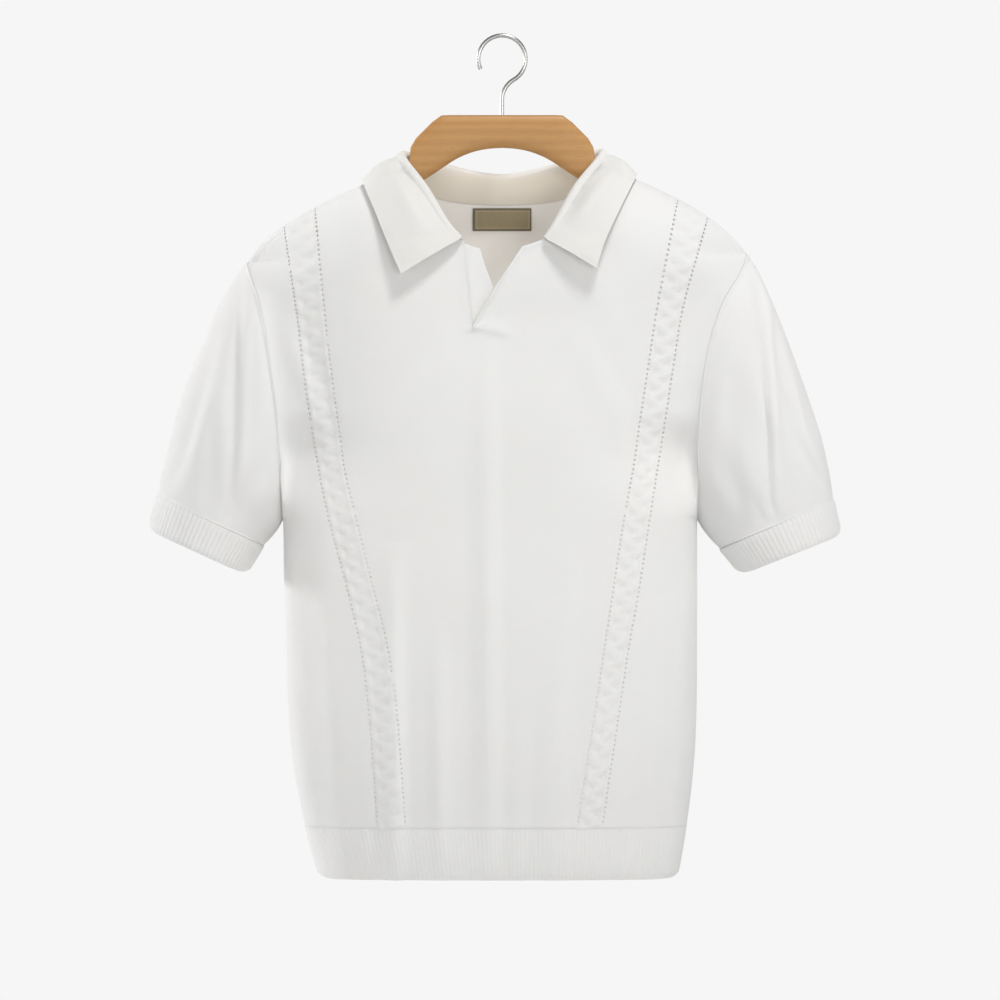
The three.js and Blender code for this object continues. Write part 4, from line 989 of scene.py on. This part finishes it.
sleeveForms = {
    "sleeve_a": {
        "side": 0.0, "tip": tipLeft,
        "outerX": [-236.2, -258.5, -272.5, -283.7, -296.7, -306.9, -315, -319.5],
        "outerZ": [-208.7, -244, -276.6, -301.7, -337, -374.3, -405, -427],
        "underX": [-203.7, -212, -223.2],
        "underZ": [-447, -459, -472],
        "cuffOuter": (-328, -457), "cuffUnder": (-239, -498),
        "front": [
            ([(-243, -222), (-247, -300), (-248, -380), (-252, -440)], 6, 3.2, 1.1),
            ([(-262, -262), (-279, -330), (-296, -392), (-311, -426)], 7, 2.8, 0.9),
            ([(-226, -250), (-222, -330), (-220, -420), (-232, -468)], 9, -1.8, 0.0),
            ([(-270, -330), (-268, -400), (-274, -452)], 8, 1.2, 0.8),
            ([(-234, -400), (-246, -436), (-264, -462)], 7, 1.2, 0.8),
        ],
        "back": [
            ([(-240, -230), (-250, -310), (-258, -400), (-262, -450)], 7, 2.2, 1.0),
            ([(-222, -260), (-224, -340), (-226, -430)], 9, -1.8, 0.0),
            ([(-268, -290), (-284, -360), (-298, -430)], 7, 1.6, 0.8),
        ],
    },
    "sleeve_b": {
        "side": math.pi, "tip": tipRight,
        "outerX": [228.8, 240.9, 256.7, 270.6, 283.7, 295.7, 302.5, 306.8],
        "outerZ": [-202.2, -225.5, -262.7, -299.9, -337, -374.3, -405, -431],
        "underX": [181.4, 191, 204],
        "underZ": [-447, -460, -475],
        "cuffOuter": (314, -462), "cuffUnder": (223, -498),
        "front": [
            ([(230, -208), (238, -250), (242, -311), (246, -371), (248, -431), (257, -458)],
             4.5, 4.0, 1.4),
            ([(247, -270), (262, -325), (274, -374), (290, -405), (301, -424)], 4.5, 3.0, 1.2),
            ([(222, -250), (206, -310), (196, -380), (197, -450)], 9, -2.0, 0.0),
            ([(212, -300), (214, -380), (222, -450), (236, -478)], 9, 1.3, 0.8),
            ([(232, -420), (240, -446), (262, -470)], 6, 1.2, 0.8),
        ],
        "back": [
            ([(228, -220), (236, -300), (246, -380), (252, -448)], 6, 2.2, 1.0),
            ([(210, -270), (204, -340), (206, -440)], 9, -1.8, 0.0),
            ([(250, -290), (268, -350), (284, -410)], 6, 1.7, 0.9),
        ],
    },
}
sleeveForm = {
    "t": [0, 0.2, 0.5, 1], "depth": [32, 38, 43, 43],
    "turn": [0.12, 0.21, 0.36, 0.68, 0.84],
    "width": [0.035, 0.045, 0.035, 0.05, 0.045],
    "rise": [2.8, 3.2, 2.4, 3.5, 3.0],
    "foldEnd": 1.1, "settle": 3,  # folds end before the cuff; the armhole's shape fades out
    "sideFade": 14, "headFade": 10, "cuffFade": 12, "headPuff": 0.9, "cuffPuff": 0.6,
    "rows": 72, "columns": 128, "ringSteps": 400,
}
sleeveDepth = through(sleeveForm["t"], sleeveForm["depth"])


def outline(xs, zs):  # a smooth line from its points, by its share of the length
    length = lengthsOf(np.stack([xs, zs], axis=-1))
    lineX = through(length / length[-1], xs)
    lineZ = through(length / length[-1], zs)
    return lambda t: np.stack(np.broadcast_arrays(lineX(t), 0.0 * np.asarray(t), lineZ(t)), -1)


def ovalPoint(top, foot, depth, angle, out):
    middle = (top + foot) / 2
    half = top - middle
    length = np.linalg.norm(half, axis=-1, keepdims=True)
    direction = half / length
    along = -np.cos(angle)[..., None]
    forward = np.sin(angle)[..., None]
    normalAlong = along / length
    normalForward = forward / depth
    size = np.hypot(normalAlong, normalForward)
    out = np.asarray(out, float)[..., None]
    points = middle + direction * (along * length + out * normalAlong / size)
    points[..., 1] -= (forward * depth + out * normalForward / size)[..., 0]
    return points


def closedRing(points, side):  # the outer face looks the same way on both sleeves
    points[:, -1] = points[:, 0]
    return points[:, ::-1] if side > 0 else points


def armholeRing(form, count):
    steps = sleeveForm["ringSteps"]
    rise = (1 - np.cos(np.linspace(0, math.pi, steps))) / 2
    z = mix(bodyForm["armpit"], form["tip"][1], rise)
    angle = form["side"] + 0 * z
    ring = np.concatenate([bodyPoint(-1, angle, z), bodyPoint(1, angle, z)[::-1][1:]])
    ring[[0, steps - 1, -1], 1] = 0
    length = lengthsOf(ring)
    keys = np.linspace(0, 1, count + 1)
    even = np.stack([np.interp(keys * length[-1], length, ring[:, k]) for k in range(3)], -1)
    return keys, even


def sleevePiece(name):
    form = sleeveForms[name]
    keys, ring = armholeRing(form, sleeveForm["columns"])
    outer = outline(form["outerX"], form["outerZ"])
    under = outline(form["underX"], form["underZ"])
    top, foot = outer(0.0), under(0.0)
    axis = top - foot
    along = 2 * (ring - foot) @ axis / (axis @ axis) - 1
    turn = np.arccos(np.clip(-along, -1, 1))
    angle = np.where(keys > 0.5, 2 * math.pi - turn, turn)
    drift = ring - ovalPoint(top, foot, bodyForm["armholeDepth"], angle, 0 * angle)
    t = np.linspace(0, 1, sleeveForm["rows"] + 1)[:, None]
    fold = np.zeros((len(t), len(keys)))
    for place, width, rise in zip(
        sleeveForm["turn"], sleeveForm["width"], sleeveForm["rise"]
    ):
        fold += rise * bell((keys[None, :] - place) / width)
    fold *= np.sin(np.pi * np.minimum(t * sleeveForm["foldEnd"], 1)) ** 2
    points = ovalPoint(
        outer(t[:, 0])[:, None], under(t[:, 0])[:, None], sleeveDepth(t)[..., None],
        np.broadcast_to(angle, fold.shape), fold,
    )
    points += drift[None] * (1 - t[..., None]) ** sleeveForm["settle"]
    points = closedRing(points, form["side"])
    normals = normalsOf(points, closed=True)
    up = alongArcs(points, 0)
    folds = np.where(
        points[..., 1] < 0,
        creaseRelief(points, form["front"]),
        creaseRelief(points, form["back"]),
    )
    onFace = smooth(np.abs(points[..., 1]) / sleeveForm["sideFade"])
    onFace = onFace * smooth(up / sleeveForm["headFade"])
    onFace = onFace * smooth((up[-1:] - up) / sleeveForm["cuffFade"])
    relief = seamPuff(up, sleeveForm["headPuff"]) * (up > seamForm["edge"]) + folds * onFace
    relief += seamPuff(up[-1:] - up, sleeveForm["cuffPuff"])
    relief = relief * (t > 0)
    moved = points - normals * relief[..., None]
    return clothPiece(name + "Cloth", points, moved, bodyForm["wall"], 1, closed=True)


sleeves = {}
for name in sleeveForms:
    sleeves[name] = sleevePiece(name)
    dress(sleeves[name], knit, [name])
print("sleeves made")

# Ribbed cuffs and hem

ribForm = {
    "pitch": 3.9, "power": 0.7, "rise": 0.55, "hemRise": 0.28, "wall": 2.0,
    "samples": 8, "rows": 12, "hemRows": 14, "girthSteps": 1200,
    "edge": 1.0, "edgeShare": 10,  # the free edge draws in over a tenth of the band
    "cuffStart": 0.12, "hemStart": 0.1, "startRise": 0.2,  # the ribs begin low at the seam
    "cuffCorner": 0.16, "hemCorner": 0.1, "cornerPower": 16,
}


def ribProfile(places, rise):  # rounded ribs with narrow grooves between them
    return rise * np.abs(np.sin(np.pi * places)) ** ribForm["power"]


def roundedEnd(rows):  # how far the cloth draws in at its free edge
    left = np.linspace(1, 0, rows + 1)
    return ribForm["edge"] * np.clip(1 - left * ribForm["edgeShare"], 0, 1) ** 2


def cuffPiece(name):
    form = sleeveForms["sleeve" + name[-2:]]
    outer = outline(form["outerX"], form["outerZ"])(1.0)
    under = outline(form["underX"], form["underZ"])(1.0)
    tops = np.array([outer, (form["cuffOuter"][0], 0, form["cuffOuter"][1])])
    feet = np.array([under, (form["cuffUnder"][0], 0, form["cuffUnder"][1])])
    depth = float(sleeveDepth(1.0))
    half = np.linalg.norm(tops[1] - feet[1]) / 2
    ribs = round(2 * math.pi * math.sqrt((half**2 + depth**2) / 2) / ribForm["pitch"])
    count = ribs * ribForm["samples"]
    keys = np.linspace(0, 1, count + 1)
    share = np.linspace(0, 1, ribForm["rows"] + 1)[:, None, None]
    relief = ribProfile(keys * ribs, ribForm["rise"])[None, :]
    relief = relief - roundedEnd(ribForm["rows"])[:, None]
    relief = relief * smooth(share[..., 0] / ribForm["cuffStart"] + ribForm["startRise"])
    angle = np.broadcast_to(2 * math.pi * keys, relief.shape)
    corner = np.abs(np.cos(angle)) ** ribForm["cornerPower"]
    share = share * (1 - ribForm["cuffCorner"] * corner[..., None])
    top = mix(tops[0], tops[1], share)
    foot = mix(feet[0], feet[1], share)
    points = ovalPoint(top, foot, depth, angle, relief)
    points = closedRing(points, form["side"])
    return clothPiece(name + "Cloth", points, points, ribForm["wall"], 1, closed=True)


cuffs = {}
for name in ("cuff_a", "cuff_b"):
    cuffs[name] = cuffPiece(name)
    dress(cuffs[name], rib, [name])


def hemPiece(name, facing):
    middle = (bodyForm["hemSeam"] + bodyForm["hemEdge"]) / 2
    fine = np.linspace(0, math.pi, ribForm["girthSteps"])
    girth = bodyPoint(facing, fine, middle + 0 * fine)
    length = lengthsOf(girth)
    ribs = round(length[-1] / ribForm["pitch"])
    keys = np.linspace(0, 1, ribs * ribForm["samples"] + 1)
    angle = np.interp(keys * length[-1], length, fine)[None, :]
    share = np.linspace(0, 1, ribForm["hemRows"] + 1)[:, None]
    corner = np.abs(np.cos(angle)) ** (2 * ribForm["cornerPower"])
    lower = share * (1 - ribForm["hemCorner"] * corner)
    z = mix(bodyForm["hemSeam"], bodyForm["hemEdge"], lower)
    points = bodyPoint(facing, angle + 0 * z, z)
    if facing > 0:
        points = points[:, ::-1]
    relief = ribProfile(keys * ribs, ribForm["hemRise"])[None, :]
    relief = relief - roundedEnd(ribForm["hemRows"])[:, None]
    relief = relief * smooth(share / ribForm["hemStart"] + ribForm["startRise"])
    across = alongArcs(points, 1)
    side = np.minimum(across, across[:, -1:] - across)
    creases = creaseRelief(points, bodyCreases["front" if facing < 0 else "back"])
    relief += creases * smooth(side / seamForm["creaseFade"])
    relief[:, [0, -1]] = 0
    moved = points - normalsOf(points) * relief[..., None]
    return clothPiece(name + "Cloth", points, moved, ribForm["wall"], 1)


hems = {}
for name, facing in (("hem_front", -1), ("hem_back", 1)):
    hems[name] = hemPiece(name, facing)
    dress(hems[name], rib, [name])
print("ribs made")

# The collar

collarForm = {
    "turn": [0, 0.3, 0.65, 1, 1.45, 2, 2.55, 3, 3.35, 3.7, 4],
    "rimX": [-37.5, -51, -72, -93.5, -64, 0, 64, 93.5, 70, 50, 39.5],
    "rimY": [-54.5, -48, -25, 2, 34, 47, 34, 2, -25, -48, -54.5],
    "rimZ": [-187, -172, -138, -107, -114, -126, -113, -105, -137, -171, -187],
    "edgeX": [-92, -101, -115, -127, -94, 0, 94, 123, 109, 94, 86],
    "edgeZ": [-222.5, -202, -168, -136, -172, -186, -170, -131.5, -160, -192, -217],
    "fold": [1.7, 3.2, 4.2, 4, 4.5, 4.5, 4.5, 4, 4.2, 3.2, 1.7],
    "lift": 3, "gap": 0.05, "stand": 0.55, "fall": (0.3, 0.62), "bow": 3.5,
    "standOff": 1.5, "round": 0.28,
    "cornerLift": 8, "cornerReach": 0.8,  # the front corners stand off the chest
    "samples": (4, 4, 3, 3, 3, 3, 8, 8, 8), "stations": 220,
    "border": 4.5, "borderRise": 0.35, "borderSoft": 0.9, "borderFrom": 45,
    "angleStep": 0.004, "heightStep": 0.4, "below": 0.5,  # where the body's slope is taken
}
collarColumn = {
    key: through(collarForm["turn"], collarForm[key])
    for key in ("rimX", "rimY", "rimZ", "edgeX", "edgeZ", "fold")
}


def bodyNormal(facing, angle, z):
    turn, rise = collarForm["angleStep"], collarForm["heightStep"]
    right = bodyPoint(facing, np.minimum(angle + turn, math.pi), z)
    left = bodyPoint(facing, np.maximum(angle - turn, 0), z)
    up = bodyPoint(facing, angle, z + rise) - bodyPoint(facing, angle, z - rise)
    normal = np.cross(right - left, up) * (1 if facing < 0 else -1)
    return normal / np.linalg.norm(normal)


def neckSeam(turn):  # the middle of the cloth's edge where the collar is sewn on
    shoulder, end = cutLine("shoulderLeft"), lineOf(slitAt)
    if turn <= 1:
        facing, edge, share = -1, topLeft, 1 - turn
    elif turn <= 3:
        facing, edge, share = 1, topBack, (turn - 1) / 2
        end = cutLine("shoulderRight")
    else:
        facing, edge, share = -1, topRight, 4 - turn
        shoulder, end = cutLine("collarEnd"), cutLine("shoulderRight")
    angle = lambda z: mix(shoulder(z), end(z), share)
    z = topOf(angle, edge)
    point = bodyPoint(facing, angle(z), z)
    away = bodyNormal(facing, angle(z), z - collarForm["below"])
    point = point - away * bodyForm["wall"] / 2
    return point + np.array([0, 0, collarForm["gap"]])


def offBody(point, lift):
    facing = -1 if point[1] < 0 else 1
    ridge = float(shoulderZ(point[0]))
    below = min(point[2], ridge - collarForm["below"])
    surface = bodyPoint(facing, angleAt(point[0], point[2]), below)
    limit = surface[1] + facing * lift
    if point[2] < ridge and facing * (point[1] - limit) < 0:
        point[1] = limit
    return point


def unit(vector):
    return vector / np.linalg.norm(vector)


def collarPath(form, turn):
    at = {key: float(line(turn)) for key, line in collarColumn.items()}
    seam = neckSeam(turn)
    facing = 1 if 1 < turn < 3 else -1
    rim = np.array([at["rimX"], at["rimY"], at["rimZ"]])
    outward = unit(rim * [1, 1, 0])
    drop = np.array([0, 0, at["fold"]])
    inner = rim - outward * at["fold"] - drop
    outer = rim + outward * at["fold"] - drop
    angle = angleAt(at["edgeX"], at["edgeZ"])
    away = bodyNormal(facing, angle, at["edgeZ"])
    lift = form["lift"] + bodyForm["wall"]
    corner = smooth(1 - min(turn, 4 - turn) / form["cornerReach"])
    spare = form["cornerLift"] * float(corner)
    edge = bodyPoint(facing, angle, at["edgeZ"]) + away * (lift + spare)
    fall = []
    for share in form["fall"]:
        point = mix(outer, edge, share) + away * form["bow"] * math.sin(math.pi * share)
        fall.append(offBody(point, lift + form["standOff"] + spare * share))
    bulge = outward * at["fold"] * form["round"]
    shoulder = mix(inner, rim, 0.5) - bulge
    crown = mix(outer, rim, 0.5) + bulge
    stand = mix(seam, inner, form["stand"])
    return np.array([seam, stand, inner, shoulder, rim, crown, outer, *fall, edge])


def smoothPath(points, counts):
    length = lengthsOf(points)
    keys = [0.0]
    for low, high, count in zip(length, length[1:], counts):
        keys += list(np.linspace(low, high, count + 1)[1:])
    return np.stack([through(length, points[:, k])(keys) for k in range(3)], axis=-1)


def collarPiece(form):
    turns = np.linspace(0, 4, form["stations"] + 1)
    paths = [smoothPath(collarPath(form, turn), form["samples"]) for turn in turns]
    points = np.stack(paths, axis=1)
    down = alongArcs(points, 0)
    along = alongArcs(points, 1)
    fromEnd = np.minimum(along, along[:, -1:] - along)
    fromEnd = np.where(down < form["borderFrom"], np.inf, fromEnd)  # only on the fall
    inside = form["border"] - np.minimum(down[-1:] - down, fromEnd)
    border = form["borderRise"] * smooth(inside / form["borderSoft"])
    moved = points - normalsOf(points) * border[..., None]
    return clothPiece("collarCloth", points, moved, bodyForm["wall"], 0)


collar = collarPiece(collarForm)
dress(collar, collarKnit, ["collar_a", "collar_b"])
print("collar made")

# Label, hanger and hook

labelForm = {
    "width": 55, "height": 21.5, "top": -157, "thick": 0.8, "depth": 3.0,
    "columns": 56, "rows": 24, "frame": 2.4, "frameRise": 0.25, "frameWidth": 0.7,
}


def labelPiece(form):
    x = np.linspace(form["width"] / 2, -form["width"] / 2, form["columns"])
    z = np.linspace(form["top"] - form["height"], form["top"], form["rows"])
    x, z = np.meshgrid(x, z)
    points = bodyPoint(1, angleAt(x, z), z)
    edge = np.minimum(
        form["width"] / 2 - np.abs(x),
        np.minimum(form["top"] - z, z - form["top"] + form["height"]),
    )
    ridge = form["frameRise"] * bell((edge - form["frame"]) / form["frameWidth"])
    points = points - normalsOf(points) * (form["depth"] + ridge)[..., None]
    return clothPiece("labelPiece", points, points, form["thick"])


label = labelPiece(labelForm)
dress(label, labelMaterial(labelFinish), ["label"])

hangerForm = {
    "x": [0, 30, 50, 56.5, 65, 73, 80, 85, 88, 95, 126, 150, 176, 190, 196],
    "top": [-72, -72, -72, -72.4, -78.5, -86.5, -93.5, -102, -122, -133, -144, -155, -169,
            -178, -183.5],
    "archX": [0, 12, 24, 36, 46, 55, 65, 75, 84, 95, 126, 150, 176, 190, 196],
    "arch": [-102.6, -103.4, -105.6, -109.8, -115, -121, -127.6, -134, -139.5, -148, -166,
             -177, -189, -193, -192],
    "thick": [13, 13, 13, 13, 12.5, 12, 12, 12, 13, 14, 18, 22, 25, 20, 13],
    "power": 0.75, "sides": 48, "step": 2.0,
}


def hangerPiece(form):
    reach = np.unique(np.append(np.arange(0, form["x"][-1], form["step"]), form["x"]))
    x = np.concatenate([-reach[:0:-1], reach])
    top = np.interp(np.abs(x), form["x"], form["top"])
    bottom = through(form["archX"], form["arch"])(np.abs(x))
    thick = np.interp(np.abs(x), form["x"], form["thick"])
    turn = np.linspace(0, 2 * math.pi, form["sides"] + 1)[:, None]
    y = signedPower(np.cos(turn), form["power"]) * thick / 2
    z = (top + bottom) / 2 + (top - bottom) / 2 * signedPower(np.sin(turn), form["power"])
    points = np.stack(np.broadcast_arrays(x, y, z), axis=-1)
    points[-1] = points[0]
    return rodPiece("hangerPiece", points)


hanger = hangerPiece(hangerForm)
dress(hanger, woodMaterial(woodFinish), ["hanger"])

hookForm = {
    "wire": 4, "inside": 20, "openAt": 205, "turnAt": -60, "foot": -71.7,
    "sides": 24, "loopSteps": 90, "bendSteps": 24,
}


def hookPiece(form):
    radius = form["inside"] + form["wire"] / 2
    turns = np.radians(np.linspace(form["openAt"], form["turnAt"], form["loopSteps"]))
    loop = np.stack([radius * np.cos(turns), radius * np.sin(turns) - form["inside"], turns])
    turned = -math.radians(form["turnAt"])
    bend = loop[0, -1] / (1 - math.cos(turned))
    left = turned * (1 - np.linspace(0, 1, form["bendSteps"])[1:])
    counter = np.stack([
        bend * (1 - np.cos(left)),
        loop[1, -1] - bend * (math.sin(turned) - np.sin(left)),
        -left,
    ])
    foot = np.zeros((3, 2))
    foot[1] = mix(counter[1, -1], form["foot"], 0.5), form["foot"]
    path = np.concatenate([loop, counter, foot], axis=1)
    around = np.linspace(0, 2 * math.pi, form["sides"] + 1)[:, None]
    away = np.cos(around) * form["wire"] / 2
    y = np.sin(around) * form["wire"] / 2 + 0 * path[0]
    points = np.stack(
        [path[0] + away * np.cos(path[2]), y, path[1] + away * np.sin(path[2])], axis=-1
    )
    points[-1] = points[0]
    return rodPiece("hookPiece", points)


hook = hookPiece(hookForm)
dress(hook, metalMaterial(metalFinish), ["hook"])
print("label, hanger and hook made")

# A loop over the cuffs that reckons each sleeve's name and keeps nothing

for name, piece in cuffs.items():
    "sleeve" + name[-2:]

# Floor, light

stageSet = {
    "floorZ": -1.4, "floorRadius": 2.6, "corners": 128,
    "floor": (0.9, 0.9, 0.9, 1), "worn": (0.88, 0.88, 0.88, 1), "patches": 3.0,
    "roughness": 0.9, "relief": 0.0005, "reliefShare": 0.1,
    "pale": (0.9216, 0.9216, 0.9216, 1), "dim": (0.2, 0.2, 0.2, 1),
    "band": 0.42, "fade": 0.12,  # level light all round, less from above and below
}


def stage():
    bpy.ops.object.select_all(action="DESELECT")
    bpy.ops.mesh.primitive_circle_add(
        vertices=stageSet["corners"], radius=stageSet["floorRadius"], fill_type="NGON",
        location=(0, 0, stageSet["floorZ"]),
    )
    floor = bpy.context.object
    floor.name = "floor"
    paint = Paint("pale floor")
    soft = paint.noise(paint.objectPlace(), stageSet["patches"])
    colour = paint.blend(soft, stageSet["floor"], stageSet["worn"])
    normal = paint.bump(soft, stageSet["relief"], stageSet["reliefShare"])
    floor.data.materials.append(paint.finish(colour, stageSet["roughness"], normal))
    sky = Paint("studio", "worlds")
    way = sky.node("ShaderNodeTexCoord", out=0)
    level = stageSet["band"] - sky.math("ABSOLUTE", sky.part(way, 2))
    share = sky.math("DIVIDE", level, stageSet["fade"], clamp=True)
    glow = sky.blend(share, stageSet["dim"], stageSet["pale"])
    light = sky.node("ShaderNodeBackground", None, {"Color": glow})
    output = sky.tree.nodes.new("ShaderNodeOutputWorld")
    sky.tree.links.new(light.socket, output.inputs["Surface"])
    bpy.context.scene.world = sky.material
    bpy.context.scene.view_settings.view_transform = "Standard"


stage()

lampSet = [  # name, place, aim, size, power
    ("lampTop", (0.6, -1.1, 2.2), (0, 0, -0.35), 0.6, 44),
    ("lampFront", (1.5, -4.1, -0.1), (0, 0, -0.4), 1.2, 27),
    ("lampSide", (-2.8, 0.9, 0.3), (0, 0, -0.35), 0.8, 42),
]


def lamps():
    for name, place, aim, size, power in lampSet:
        bpy.ops.object.light_add(type="AREA", location=place)
        lamp = bpy.context.object
        lamp.name = name
        lamp.data.shape = "DISK"
        lamp.data.size = size
        lamp.data.energy = power
        way = np.array(aim) - np.array(place)
        flat = math.hypot(way[0], way[1])
        lamp.rotation_euler = (math.atan2(flat, -way[2]), 0, math.atan2(-way[0], way[1]))


lamps()
print("stage and light made")
